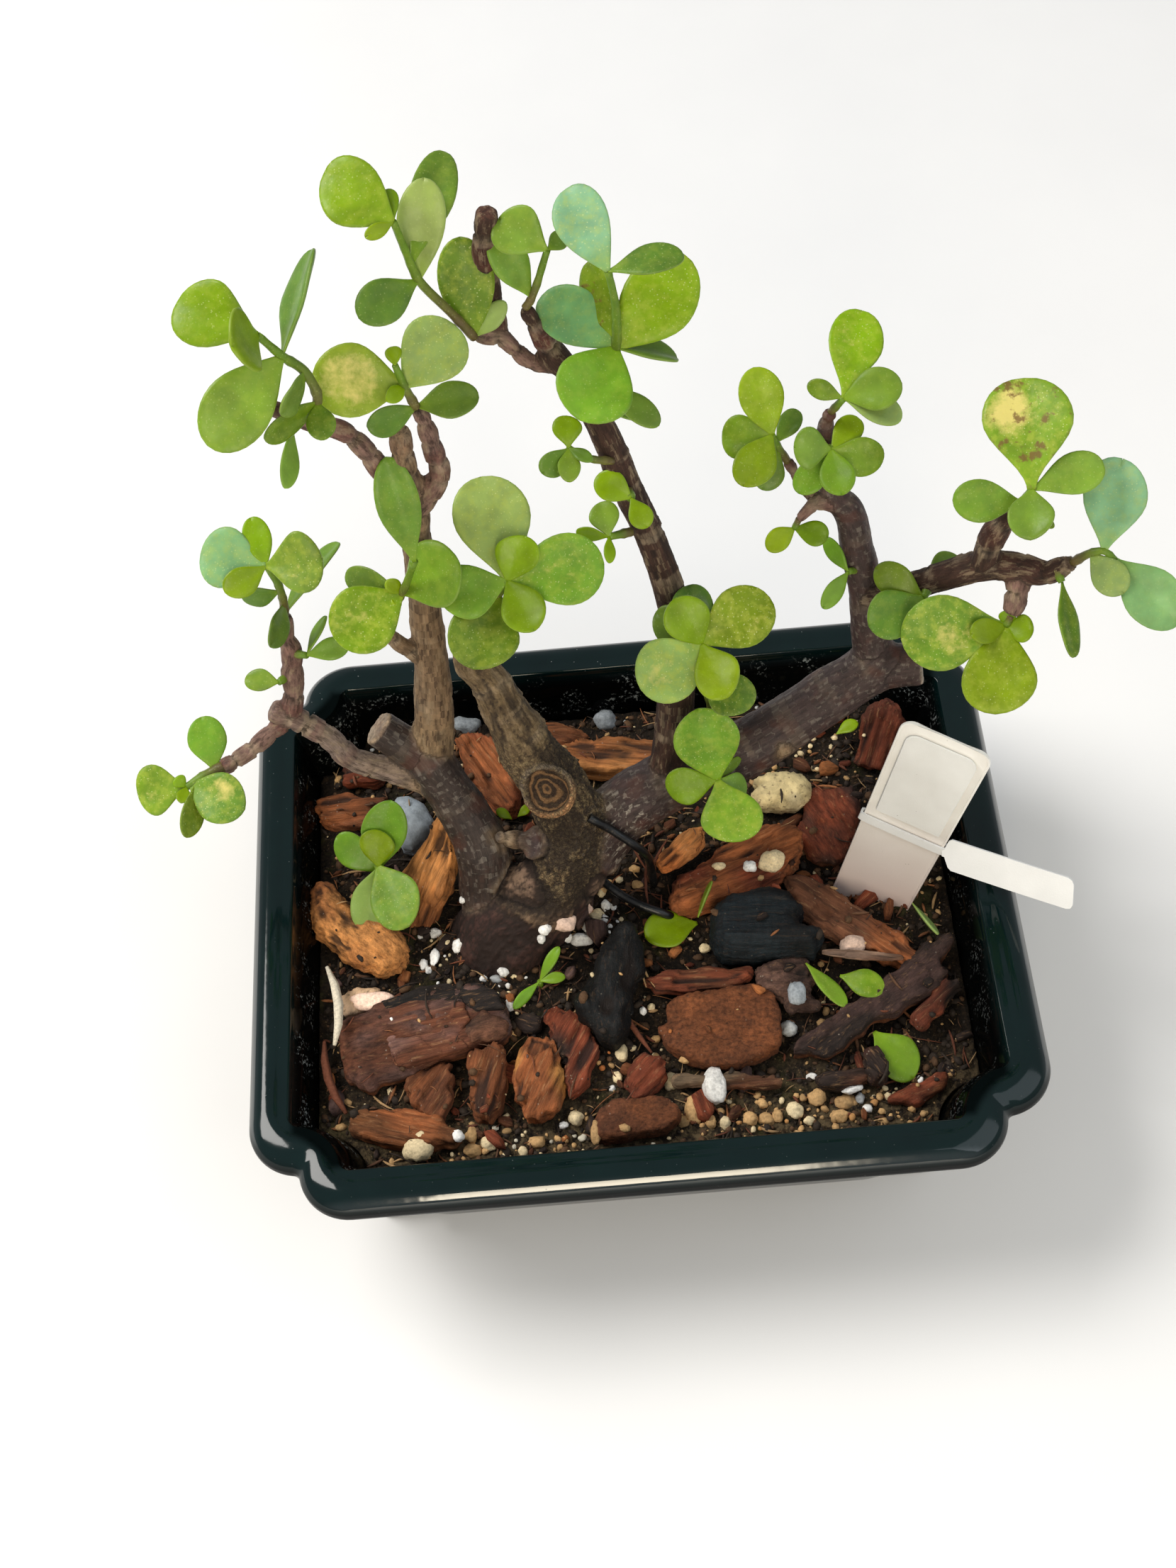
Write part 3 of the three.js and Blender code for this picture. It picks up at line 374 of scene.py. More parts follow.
def bark_look():
    """Flaky grey-brown stems, a corky network low down, and smooth dark wood with a dull sheen."""
    look = Look("bark")
    tint, _ = look.layer("tint")
    grain, _ = look.layer("grain")
    trait, flaky = look.layer("trait")
    cork, depth, wet = look.parts(trait)
    ring_place, heart, scratched = look.parts(look.layer("scar")[0])
    streak = look.noise(1.1, 6, 0.7, grain)
    mottle = look.noise(3.2, 4, 0.6)
    shade = look.times(look.span(streak, 0.32, 0.68, 0.5, 1.5), look.span(mottle, 0.3, 0.7, 0.75, 1.25))
    color = look.mix(1.0, tint, shade, "MULTIPLY")
    flakes = look.noise(1.5, 5, 0.72, grain)
    pale = look.times(look.span(flakes, 0.52, 0.62), flaky, 0.5)
    color = look.mix(pale, color, linear(156, 136, 108))
    dark = look.times(look.span(flakes, 0.46, 0.38), flaky, 0.7)
    color = look.mix(dark, color, linear(48, 32, 26))
    net = look.span(look.cells(1.5, "DISTANCE_TO_EDGE"), 0.0, 0.18, 1.0, 0.0)
    fine_net = look.span(look.cells(0.8, "DISTANCE_TO_EDGE"), 0.0, 0.12, 0.7, 0.0)
    net = look.math("MAXIMUM", net, fine_net)
    color = look.mix(look.times(net, cork, 0.8), color, linear(44, 33, 24))
    crumbs = look.times(look.span(look.noise(1.0, 4, 0.65), 0.5, 0.62), cork, 0.6)
    color = look.mix(crumbs, color, linear(156, 136, 98))
    scratch = look.span(look.noise(0.5, 3, 0.6, look.scaled(grain, (0.35, 0.35, 1.5))), 0.54, 0.66)
    streaky = look.math("ADD", look.times(wet, 0.3), look.times(scratched, 0.6))
    color = look.mix(look.times(scratch, streaky), color, linear(158, 148, 134))
    ruddy = look.times(look.span(look.noise(6.5, 3), 0.55, 0.68), wet, 0.35)
    color = look.mix(ruddy, color, linear(96, 54, 40))
    # Painted shade: darker where the relief sinks, in fissures, seams and cracks.
    deep = look.span(depth, 0.45, 0.1, 0.0, 0.8)
    color = look.mix(deep, color, linear(32, 23, 18))
    turns = look.times(ring_place, SCAR_UNIT * 2 * math.pi / RING_GAP)
    phase = look.math("ADD", turns, look.times(look.noise(4, 3), 9))
    rings = look.times(look.span(look.math("SINE", phase), -0.3, 0.7), heart)
    color = look.mix(look.times(heart, 0.85), color, linear(44, 29, 21))
    faint = look.span(mottle, 0.3, 0.6, 0.45, 0.9)
    color = look.mix(look.times(rings, faint), color, linear(140, 104, 68))
    height = look.math("ADD", look.times(streak, 0.7), look.times(flakes, flaky, 0.5))
    height = look.math("ADD", height, look.times(rings, 1.2))
    height = look.math("SUBTRACT", height, look.times(net, cork, 0.7))
    roughness = look.math("SUBTRACT", look.span(streak, 0.3, 0.7, 0.95, 0.78), look.times(wet, 0.3))
    return look.finish(color, roughness, height, 0.35, Specular_IOR_Level=0.35)


def leaf_look():
    """Fleshy skin: a paler neck, a pale rim that is partly painted edge highlight, fine glands, yellow
    mottle and bleached patches.
    """
    look = Look("leaf")
    tint, bleach = look.layer("tint")
    trait, scarred = look.layer("trait")
    along, across, speckle = look.parts(trait)
    color = look.mix(1.0, tint, look.span(look.noise(5, 3), 0.3, 0.7, 0.82, 1.16), "MULTIPLY")
    neck = look.span(along, 0.3, 0.02, 0.0, 0.5)
    color = look.mix(neck, color, linear(128, 158, 30))
    soft = look.times(look.span(look.noise(2.0, 4, 0.65), 0.44, 0.66), speckle, 0.6)
    color = look.mix(soft, color, linear(178, 186, 70))
    present = look.span(look.noise(6, 3), 0.36, 0.6, 0.3, 1.0)
    dots = look.times(look.span(look.cells(0.75), 0.24, 0.12), present)
    dots = look.times(dots, look.span(speckle, 0, 1, 0.1, 1.0))
    color = look.mix(look.times(dots, 0.7), color, linear(214, 222, 150))
    uneven = look.times(look.math("SUBTRACT", look.noise(2.2, 4, 0.65), 0.5), 1.1)
    patches = look.span(look.math("ADD", bleach, uneven), 0.3, 0.75)
    pale = look.times(patches, look.span(bleach, 0.02, 0.2))
    color = look.mix(look.times(pale, 0.85), color, linear(222, 205, 120))
    sore = look.times(look.span(look.noise(3.2, 4, 0.6), 0.56, 0.64), scarred, 0.85)
    color = look.mix(sore, color, linear(112, 82, 44))
    # The pale rim: the leaf's paler margin with a painted edge highlight.
    color = look.mix(look.span(across, 0.93, 1.0, 0.0, 0.35), color, linear(150, 170, 90))
    bump = look.math("ADD", look.times(look.noise(2.5, 3), 3), look.times(look.noise(0.8, 3), 0.6))
    bump = look.math("ADD", bump, look.times(dots, speckle, 0.4))
    film = look.span(look.noise(3, 3), 0.3, 0.7, 0.3, 0.46)
    roughness = look.math("ADD", film, look.times(speckle, 0.12))
    return look.finish(color, roughness, bump, 0.05, Subsurface_Weight=0.1, Specular_IOR_Level=0.27,
        Subsurface_Radius=(0.7, 1.0, 0.25), Subsurface_Scale=0.001)


def chip_look(name, dust=0.25, shine=0.35):
    """Torn bark: fibres along the grain, painted shade in its cracks and hollows, pale dust; the tint rides
    in the mesh.
    """
    look = Look(name)
    tint, _ = look.layer("tint")
    grain, _ = look.layer("grain")
    depth, fibre, sheen = look.parts(look.layer("trait")[0])
    strands = look.noise(1.0, 6, 0.7, grain)
    blotch = look.noise(5, 3)
    shade = look.times(look.span(strands, 0.3, 0.7, 0.35, 1.7), look.span(blotch, 0.3, 0.7, 0.75, 1.25))
    color = look.mix(1.0, tint, shade, "MULTIPLY")
    pale = look.times(look.span(look.noise(0.7, 5, 0.7, grain), 0.56, 0.72), fibre, 0.4)
    color = look.mix(pale, color, linear(196, 150, 104))
    pores = look.times(look.span(look.cells(0.8), 0.3, 0.1), look.math("SUBTRACT", 1.0, fibre), 0.35)
    color = look.mix(pores, color, linear(60, 38, 30))
    # Painted shade where the relief sinks.
    color = look.mix(look.span(depth, 0.42, 0.1, 0.0, 0.85), color, linear(26, 18, 14))
    dots = look.span(look.cells(1.9), 0.13, 0.07)
    specks = look.times(dots, look.span(look.noise(7, 2), 0.5, 0.6), dust)
    color = look.mix(specks, color, linear(222, 208, 186))
    height = look.math("ADD", strands, look.times(look.noise(0.5, 3), 0.35))
    roughness = look.math("SUBTRACT", look.span(strands, 0.3, 0.7, 0.95, 0.75), look.times(sheen, 0.35))
    return look.finish(color, roughness, height, 0.4, Specular_IOR_Level=shine)


def stone_look(name):
    """Weathered stone, pitted where the mesh says so."""
    look = Look(name)
    tint, _ = look.layer("tint")
    depth, pits, _ = look.parts(look.layer("trait")[0])
    cloud = look.noise(2.6, 5, 0.65)
    shade = look.span(cloud, 0.3, 0.7, 0.66, 1.28)
    color = look.mix(1.0, tint, shade, "MULTIPLY")
    hole = look.times(look.span(look.noise(1.1, 4), 0.42, 0.32), pits, 0.7)
    color = look.mix(hole, color, linear(96, 78, 58))
    # Painted shade where the relief sinks.
    color = look.mix(look.span(depth, 0.4, 0.1, 0.0, 0.6), color, linear(60, 48, 38))
    height = look.math("ADD", cloud, look.times(look.noise(0.5, 3), 0.3))
    return look.finish(color, look.span(cloud, 0.3, 0.7, 0.9, 0.62), height, 0.3)


def soil_look():
    """Dark peaty mix with straw and moss, and a dry sandy crust towards the front."""
    look = Look("soil")
    depth, moss, _ = look.parts(look.layer("trait")[0])
    fine = look.noise(0.8, 5, 0.75)
    clods = look.noise(3.2, 4, 0.6)
    color = look.mix(look.span(fine, 0.35, 0.65), linear(12, 9, 6), linear(44, 33, 21))
    color = look.mix(look.span(clods, 0.52, 0.7, 0.0, 0.5), color, linear(66, 48, 30))
    green = look.times(look.span(look.noise(6, 3), 0.5, 0.62), moss, 0.3)
    color = look.mix(green, color, linear(84, 84, 40))
    forward = look.node("SeparateXYZ", None, {"Vector": look.place}).outputs["Y"]
    dry = look.times(look.span(forward, -38, -58), look.span(look.noise(2.4, 4, 0.7), 0.42, 0.58), 0.75)
    color = look.mix(dry, color, linear(112, 95, 68))
    # Painted shade in the low spots of the crumbly top.
    color = look.mix(look.span(depth, 0.45, 0.1, 0.0, 0.85), color, linear(6, 5, 4))
    straw = look.times(look.span(look.noise(0.6, 4, 0.6), 0.62, 0.7), look.span(clods, 0.4, 0.6))
    color = look.mix(look.times(straw, 0.7), color, linear(168, 140, 100))
    height = look.math("ADD", fine, look.times(clods, 0.8))
    return look.finish(color, look.span(fine, 0.3, 0.7, 0.98, 0.8), height, 0.6, Specular_IOR_Level=0.25)


def grit_look():
    """Small loose pieces whose tint rides in the mesh: perlite, gravel, crumbs and shreds."""
    look = Look("grit")
    tint, _ = look.layer("tint")
    cloud = look.noise(0.7, 4, 0.6)
    shade = look.span(cloud, 0.3, 0.7, 0.7, 1.25)
    color = look.mix(1.0, tint, shade, "MULTIPLY")
    return look.finish(color, look.span(cloud, 0.3, 0.7, 0.95, 0.75), cloud, 0.15)


def plastic_look(name, color, shadow, grain=0.35, foot=None):
    """Smooth plastic; `foot` is the tone it takes on down by the mix."""
    look = Look(name)
    cloud = look.noise(12, 4)
    tone = look.mix(look.span(cloud, 0.3, 0.7), color, shadow)
    if foot is not None:
        level = look.node("SeparateXYZ", None, {"Vector": look.place}).outputs["Z"]
        tone = look.mix(look.span(level, 76, 44), tone, foot)
    dust = look.times(look.span(look.cells(1.7), 0.08, 0.04), look.span(look.noise(6, 2), 0.52, 0.6))
    tone = look.mix(look.times(dust, 0.7), tone, linear(96, 78, 60))
    height = look.math("ADD", look.noise(grain, 3), look.times(dust, 0.6))
    return look.finish(tone, look.span(look.noise(5, 3), 0.3, 0.7, 0.32, 0.5), height, 0.05)


def wire_look():
    look = Look("wire_coat")
    cloud = look.noise(3, 4)
    dust = look.times(look.span(look.noise(0.7, 4), 0.56, 0.7), look.span(cloud, 0.45, 0.65))
    color = look.mix(look.times(dust, 0.35), linear(12, 13, 15), linear(110, 98, 84))
    return look.finish(color, look.span(cloud, 0.3, 0.7, 0.26, 0.45), look.noise(0.9, 3), 0.06)


def floor_look():
    look = Look("floor")
    tone = look.mix(look.noise(60, 3), linear(238, 238, 238), linear(244, 244, 243))
    return look.finish(tone, look.span(look.noise(20, 3), 0.3, 0.7, 0.75, 0.9), look.noise(2, 2), 0.02)
# The tree's limbs, each as places along it: x, y, z and radius.
WOOD = {
    "base": [[-35, -4, 35, 13.6], [-31.5, -1, 44, 13.5], [-23, 2, 52, 11.2], [-15, 6, 62, 9.3],
        [-13, 10, 70, 8.8]],
    "root_front": [[-29, 0, 50, 9], [-31, -9, 41, 6], [-33, -16, 34, 3.5]],
    "root_left": [[-34, 2, 50, 8], [-44, 0, 40, 5], [-50, -3, 34, 3]],
    "root_right": [[-17, 5, 58, 8.5], [-11, -1, 44, 6.5], [-7, -5, 34, 4]],
    "stem_scarred": [[-15, 6, 62, 9.2], [-13, 11, 73, 8.7], [-16, 14, 83.5, 8.3],
        [-20.5, 17.5, 93.5, 7.5], [-25, 20.5, 106.5, 5.9], [-28.5, 22.5, 118.5, 4.6],
        [-32, 24, 124.5, 4.2], [-29.5, 23.5, 135.5, 3.4], [-24.5, 22.5, 147.5, 2.3]],
    "trunk_left": [[-36, 0, 42, 9.5], [-36, 3, 52, 8.5], [-36, 11.5, 66, 7.1],
        [-41.5, 19.5, 77, 6], [-46, 24, 86, 5.9]],
    "stub_left": [[-45, 23.5, 84, 4.9], [-57.5, 28, 96, 4.5]],
    "stem_left": [[-46, 23.5, 83, 5.6], [-44.5, 27, 91.5, 5], [-42.5, 30, 110.5, 4.3],
        [-41.5, 32, 129, 3.8], [-40, 33, 158, 3.3], [-39, 33, 171.5, 3.1], [-39.5, 32, 179.5, 3],
        [-39.5, 31, 187, 2.4], [-39, 30, 195.5, 2.2]],
    "twig_crown_left": [[-39.5, 33, 173.5, 2.6], [-44, 32, 180.5, 2.4], [-47, 31, 189.5, 2.1],
        [-50.5, 30, 196.5, 2], [-55, 28, 201, 1.8], [-59.5, 26, 206.5, 1.6], [-65, 24, 213, 1.5]],
    "twig_crown_right": [[-39, 33, 168, 2.8], [-35.5, 32.5, 173, 2.6], [-32.5, 32, 180, 2.2],
        [-33, 32, 185.5, 2.1], [-33.5, 32, 192, 2], [-34, 32, 196, 1.7], [-35, 31.5, 200, 1.4]],
    "twig_mid_left": [[-43, 31.5, 116, 2.2], [-48.5, 28, 128.5, 1.8], [-50, 26, 136.5, 1.5],
        [-48, 25, 143.5, 1.3]],
    "branch_low_left": [[-46, 23, 79, 4.4], [-57, 23.5, 84.5, 3.2], [-65, 24.5, 89, 2.9],
        [-69.5, 26, 96.5, 2.7], [-77.5, 28, 103.5, 2.6], [-81.5, 28.5, 106, 2.5]],
    "twig_low_up": [[-78, 28, 102, 2.4], [-75.5, 30, 110.5, 2.5], [-75, 32, 116, 2.7],
        [-74, 33, 122.5, 2.3], [-74.5, 34, 128.5, 2.1], [-73.5, 34, 134, 1.8]],
    "twig_low_out": [[-77, 28.5, 103.5, 2.2], [-82, 26.5, 100.5, 2.1], [-88, 23, 98, 2],
        [-94.5, 19, 97.5, 1.9]],
    "trunk_right": [[-16, 4, 57, 8.6], [-12.5, 7, 60, 8.5], [-2, 14, 70, 8.3], [9.5, 18, 75, 8.1],
        [22, 20.5, 80, 7.7], [29, 21.5, 82, 7.4], [46.5, 26.5, 90, 6.9], [59, 30.5, 96, 6.5],
        [66, 32.5, 100, 6.3]],
    "stub_right": [[63, 31.5, 98.5, 5.6], [74.5, 30, 100, 5.1]],
    "knot_right": [[39, 21, 87, 4], [40.5, 17, 85, 2]],
    "stem_middle": [[12, 19, 78, 5.4], [13.5, 22, 89.5, 4.8], [15.5, 30, 107.5, 4.4],
        [15.5, 36, 124, 4], [11, 41, 144, 3.7], [6.5, 43, 159, 3.5], [2.5, 45, 174.5, 3.3],
        [-4, 46, 192.5, 2.8], [-6.5, 46, 197, 3.1], [-8.5, 45, 204, 2], [-11, 44, 212, 1.5]],
    "twig_top": [[-6, 46, 194.5, 1.9], [-11, 46, 195, 1.7], [-14, 46, 199, 1.7],
        [-17, 45.5, 203.5, 1.6], [-20, 45, 204, 1.4], [-22, 44.5, 206, 1.1]],
    "stub_top": [[-17, 45.5, 201.5, 1.6], [-18, 46, 214, 1.9], [-18, 46, 226, 2],
        [-16, 45, 238, 1.8]],
    "stem_right": [[64, 32, 97, 5.8], [62.5, 35, 106.5, 4.4], [61.5, 38, 116.5, 4.2],
        [59.5, 42, 128.5, 4], [57, 45, 140.5, 3.6], [54, 46, 145, 3.1], [52.5, 49, 156, 2.2],
        [52, 51, 163, 1.7], [53, 51, 167, 1.4]],
    "twig_right_low": [[56, 45, 143, 2.1], [49.5, 44, 145, 1.6], [45.5, 43, 141.5, 1.1]],
    "twig_right_mid": [[55.5, 46, 142, 1.9], [49, 47, 144.5, 1.6], [45.5, 49, 149.5, 1.4],
        [43.5, 50, 153.5, 1.2]],
    "branch_right": [[61.5, 38, 118.5, 3.8], [71.5, 33, 126.5, 3.4], [79.5, 30, 133.5, 3.4],
        [85, 28, 137.5, 3.7], [93.5, 25, 139.5, 3], [98, 23, 139, 2.8], [103, 21, 144.5, 2]],
    "spur_right": [[85, 27.5, 137, 3], [86.5, 27, 149, 3.1], [88, 26, 154, 2.6],
        [89.5, 25, 158, 1.8]],
    "spur_right_low": [[93, 25, 138, 2.7], [92, 21, 132, 2.4], [91, 19.5, 129.5, 1.9]],
    "stub_base": [[-22, 8, 55, 3], [-25, 12.5, 63, 1.8]],
}
# The leafy shoots: the stem's places (x, y, z and radius), then each leaf's place on the stem,
# azimuth, elevation, length, width and roll, then the leaves' look codes.
SPRAYS = {
    "spray_top_left": (
        [[-22, 43, 206.6, 1], [-26, 42, 215, 0.9], [-31, 40, 226, 0.9], [-32.5, 38, 236, 0.8],
         [-33.5, 36, 244.5, 0.7]],
        [[4, 145, 16, 16.5, 13, 30], [4, 100, 20, 7, 4, 0], [4, -145, 0, 6.5, 3, 45],
         [2, 70, 60, 19.5, 9.6, -14], [2.5, 69, 18, 26, 9.2, -13], [2, -144, -1, 14.5, 9.3, 30],
         [0, 93, 64, 20.8, 11.6, 1], [0, 18, 41, 9.9, 4.7, -36]],
        "L3 L0 L0 G1 D2 D1 O6 G1"),
    "spray_left": (
        [[-59, 23, 207, 1], [-53, 23, 212.5, 1], [-54.5, 25, 219, 1], [-58, 25, 223.5, 0.9],
         [-61.5, 24, 230.5, 0.7]],
        [[4, 155, 15, 17, 13.5, 40], [4, -110, 35, 13, 12.5, 65], [3, 65, 30, 21.5, 11, 45],
         [3, -140, -20, 22.5, 13.5, 40], [2, -115, -10, 10.5, 7, 90], [1, -140, 0, 13.5, 7, 90],
         [1, -85, -20, 8, 6, 5], [0, -100, -25, 13.5, 5.5, 65]],
        "L3 L2 D1 M2 D1 O2 O3 M1"),
    "spray_crown_left": (
        [[-35, 31.5, 200, 1], [-36.5, 31, 206.5, 0.9], [-37.5, 30.5, 213, 0.7]],
        [[1, 175, 10, 18.5, 15, 45], [1, -125, 15, 6, 3.5, 40], [1, 40, 25, 16, 14, -35],
         [0, -155, 0, 11, 7, 75], [0, 5, 0, 13, 8, -25], [2, 95, 10, 4.5, 3.5, 0]],
        "Y3b5 L0 G5 D1 D1 L0"),
    "spray_crown_right": (
        [[1, 42, 180.5, 1.2], [4.5, 40, 191.5, 1.1], [6.5, 38, 205, 1], [7, 37, 217, 0.8],
         [6, 36, 227.5, 0.7]],
        [[4, 115, 25, 18.5, 11, 20], [4, 5, 5, 15, 8, -5], [2, 32, 30, 23, 15.5, -33],
         [2, 140, 20, 19, 12, 35], [2.2, 105, 30, 17, 8.5, 50], [2, -120, -10, 18, 16.5, 20],
         [2, 5, -20, 13.5, 8.5, 10], [1, -35, -20, 13, 6, -15], [0.5, -25, -10, 9, 3.5, 0]],
        "C5 D2 L5 B3 O3s F2 D1 D1 D1"),
    "spray_crown_tip": (
        [[-11, 44, 212.5, 0.9], [-9.5, 44, 215, 0.8], [-5.5, 44, 227, 0.7]],
        [[2, 145, 20, 11.5, 10.5, 40], [1, 138, 52, 15.5, 7.8, 26], [2, 50, -5, 6, 4, -40]],
        "M2 M2 D1"),
    "spray_middle": (
        [[4, 41, 168.5, 0.9], [-0.5, 38, 173, 0.8], [-5, 36, 179, 0.7]],
        [[2, 90, 35, 7, 6.5, 0], [2, -95, -20, 7.5, 5, 5], [2, -140, -15, 8, 6, 55],
         [2, -45, 5, 6.5, 3, -15]],
        "L1 M1 D1 D0"),
    "leaf_pair_middle_upper": (
        [[7, 39.5, 160, 1.2], [7.5, 36.5, 161, 1]],
        [[1, 150, 20, 9, 7, 35], [1, -65, -25, 7.5, 5.5, -15]],
        "L0 L0"),
    "leaf_pair_middle_lower": (
        [[7, 38, 148, 1.1], [2, 35, 150.5, 0.8]],
        [[1, 100, 35, 8, 7, 5], [1, 175, 15, 7.5, 3.5, 70], [1, -95, -15, 6.5, 3, 35]],
        "M1 L0 L0"),
    "spray_low_top": (
        [[-73.5, 34, 134.5, 1.1], [-73, 34, 138.5, 1], [-73, 34, 145, 0.9], [-74.5, 34, 152, 0.7]],
        [[3, 165, 10, 15, 14, 35], [3, 105, 30, 11.5, 6.5, 0], [3, -145, -5, 11, 7, 40],
         [3, -5, 5, 13, 14, -40], [1.7, -175, -5, 9, 6.5, 90], [1, -105, -15, 11, 6.5, 65],
         [0, 50, 20, 21, 8, 30]],
        "B4 L1 L1 M5b3 D1 D1 M1"),
    "leaf_pair_low_right": (
        [[-73.5, 32, 122.5, 1.1], [-70, 29.5, 124.5, 0.8]],
        [[1, 10, 5, 10, 5.5, -40], [1, 60, 20, 10.5, 4, 35]],
        "M1 M0"),
    "leaf_low_left": (
        [[-76, 31, 115.5, 1.1], [-78, 28.5, 116.5, 0.8]],
        [[1, 170, 10, 8, 5.5, 35]],
        "M2"),
    "spray_low_out": (
        [[-94, 19.5, 97.5, 1.6], [-100.5, 16.5, 97, 1.2], [-103.5, 15, 96.5, 0.8]],
        [[0.4, 100, 30, 13.5, 9.5, -5], [1.7, -30, -5, 15, 12.5, -25], [2, 180, 0, 12, 12.5, 35],
         [1.2, -100, -20, 14, 6.5, 50], [2, 150, 40, 3.5, 3.5, 25], [2, -100, 5, 5, 3.5, 20]],
        "F2 M6b6 F6b4 O4 L0 L0"),
    "spray_mid_left": (
        [[-48, 25, 143.5, 1], [-44.5, 24, 150.5, 0.9], [-40, 20.5, 165, 0.8]],
        [[1, -150, -10, 18, 15.5, 35], [1, -5, 38, 17.8, 15.6, -37], [1, 155, 5, 14, 7, 55],
         [2, 108, 68, 24.5, 9.5, 10], [1, 165, 55, 5, 3.5, 45], [0.6, -100, 40, 4, 3, 40]],
        "L7b3 F2 D2 M2 L0 L0"),
    "spray_centre": (
        [[-24.5, 22.5, 147.5, 1.1], [-21, 22, 154, 0.9]],
        [[1, 99, 34, 23.5, 17.2, 4], [1, -165, 0, 15.6, 12.5, 34], [0.3, -115, -20, 18, 16, 20],
         [1, 50, 50, 11, 10, -25], [1, 5, 5, 21.5, 16, -40], [1, -65, -10, 14, 10, -15]],
        "G4 F2 O4 L1 F5b3 L1"),
    "spray_right_upper": (
        [[24, 20, 86, 1.3], [23, 22, 100, 1.1], [21.5, 22, 114, 1], [21, 22, 125.5, 0.8]],
        [[3, -150, -15, 17.5, 15.5, 30], [3, 130, 50, 12.5, 11, 25], [3, 100, 20, 14.5, 10, 10],
         [2.8, 140, 15, 14, 9, 30], [3, 25, 15, 19, 14.5, -35], [3, -70, -5, 15, 11, -15],
         [2, -45, -15, 13.5, 11, -25]],
        "G7b4 L1 D2 D1 L8b3 L1 D4"),
    "spray_right_lower": (
        [[23.5, 15, 81, 1.5], [23, 9, 89, 1]],
        [[1, 110, 60, 19.5, 16, 15], [1, -175, -5, 12.5, 9.5, 50], [1, -75, -25, 16, 15, -10],
         [1, -10, -35, 8.5, 7, -20], [0.6, 40, 5, 8, 2.5, -25]],
        "F5 L1 F6b2 M1 O1"),
    "spray_right_top": (
        [[53, 51, 167, 0.9], [55.5, 50, 172, 0.8]],
        [[1, 72, 19, 21.6, 12.4, -11], [1, -3, 19, 13, 9.7, -36], [1, -15, -15, 13.5, 7, -25],
         [1, 160, 15, 8.5, 4.5, 45]],
        "L5b3n M1 G2 O2"),
    "spray_right_left": (
        [[43.5, 50, 153.5, 1], [41.5, 50, 158, 0.9], [40, 50, 162.5, 0.7]],
        [[2, 111, 50, 15.5, 10.2, 11], [2, 170, -10, 11.5, 10, 45], [2, -125, -15, 14, 9.5, 20],
         [1.4, 45, 20, 9, 5.5, -5], [1, -125, -40, 10, 7, 35]],
        "L3 O2 L2 D1 D1"),
    "spray_right_mid": (
        [[52.5, 48.5, 158, 1.2], [52.5, 45, 161.5, 0.9]],
        [[1, -180, 15, 8.5, 9.5, 45], [1, 45, 10, 10, 6.5, -15], [1, -10, -15, 12, 9, -45],
         [1, -85, -15, 11.5, 8, -10], [0.6, -135, -30, 12, 7, 20]],
        "M1 L1 O2 F1 F2"),
    "spray_right_low": (
        [[45.5, 43, 141.5, 0.8], [44.5, 42.5, 139, 0.7]],
        [[1, -20, -5, 8, 6, -40], [1, -155, -15, 8, 5.5, 35]],
        "L0 L0"),
    "leaf_pair_right": (
        [[59.5, 39.5, 126, 0.9], [56.5, 37, 128.5, 0.8]],
        [[1, 125, 30, 9.5, 4, 45], [1, -135, -20, 10.5, 4.5, 35]],
        "F0 M0"),
    "spray_far_right_up": (
        [[89.5, 25, 158, 1.1], [91, 24.5, 162, 0.9], [92.5, 24, 166.5, 0.8]],
        [[2, 85, 30, 24.5, 19.5, 10], [1, 175, 5, 15, 9.5, 40], [2, -100, -10, 12, 10, -5],
         [2, 15, 5, 16.5, 9.5, -25], [0.5, -25, -15, 9, 3, -20]],
        "F6b9shn M2 M1 M2 O1"),
    "spray_far_right_end": (
        [[103.5, 21, 144.5, 1.1], [106.5, 19.5, 149, 0.9], [109, 18.5, 150.5, 0.8],
         [111.5, 17.5, 148.5, 0.7]],
        [[2, 70, 35, 20.5, 14, 0], [1, -60, -15, 11.5, 8, -30], [3, -45, -25, 20, 12.5, -35]],
        "C4c G3 B1"),
    "leaf_right_hanging": (
        [[100, 21, 142.5, 1], [101, 18.5, 141, 0.8]],
        [[1, -90, -30, 17, 7, 40]],
        "O3"),
    "spray_right_inner": (
        [[74.5, 31, 129, 1.4], [72.5, 27.5, 128.5, 0.9]],
        [[1, 150, 20, 13, 8, 45], [1, -155, -5, 14.5, 11.5, 30], [0.3, 40, 5, 11, 9, -25]],
        "O1 D2 M2"),
    "spray_right_under": (
        [[91, 19.5, 129.5, 1.1], [90, 18.5, 127, 0.9]],
        [[1, 180, 0, 24, 17.5, 40], [1, -160, 10, 9.5, 6, 35], [1, -30, 15, 6.5, 6.5, -40],
         [1, -105, -25, 20.5, 17, 0], [1, 80, 65, 4, 4, 5]],
        "F7b5 L0 L0 L4 L0"),
    "shoot_from_soil": (
        [[-64.5, 16.5, 36, 1.1], [-64, 15.5, 48, 1.1], [-63, 12.5, 58, 0.9]],
        [[1.6, 66, 54, 20, 11.8, -13], [2, 79, 52, 9.6, 9.2, -7], [1.8, -106, -24, 16, 10.5, 0],
         [2, -63, -13, 18, 13.3, -15], [1.5, 147, 30, 14, 8.5, 35]],
        "F1 L1 G1c M4 F1"),
    "weed_sprout": (
        [[-24, -17.5, 36, 0.9], [-24.5, -17.5, 45.5, 0.7]],
        [[1, 50, 35, 10, 3, -10], [1, -140, -5, 9.5, 3, 35], [1, 5, 10, 6.5, 3, -20]],
        "F0 F0 F0"),
}


def smooth_step(values, low, high):
    share = np.clip((np.asarray(values, float) - low) / (high - low), 0, 1)
    return share * share * (3 - 2 * share)


def stacked(*columns):
    """Numbers or columns side by side as one layer's rows."""
    count = max(np.size(column) for column in columns)
    return np.stack([np.broadcast_to(np.ravel(column), (count,)) for column in columns], axis=1)


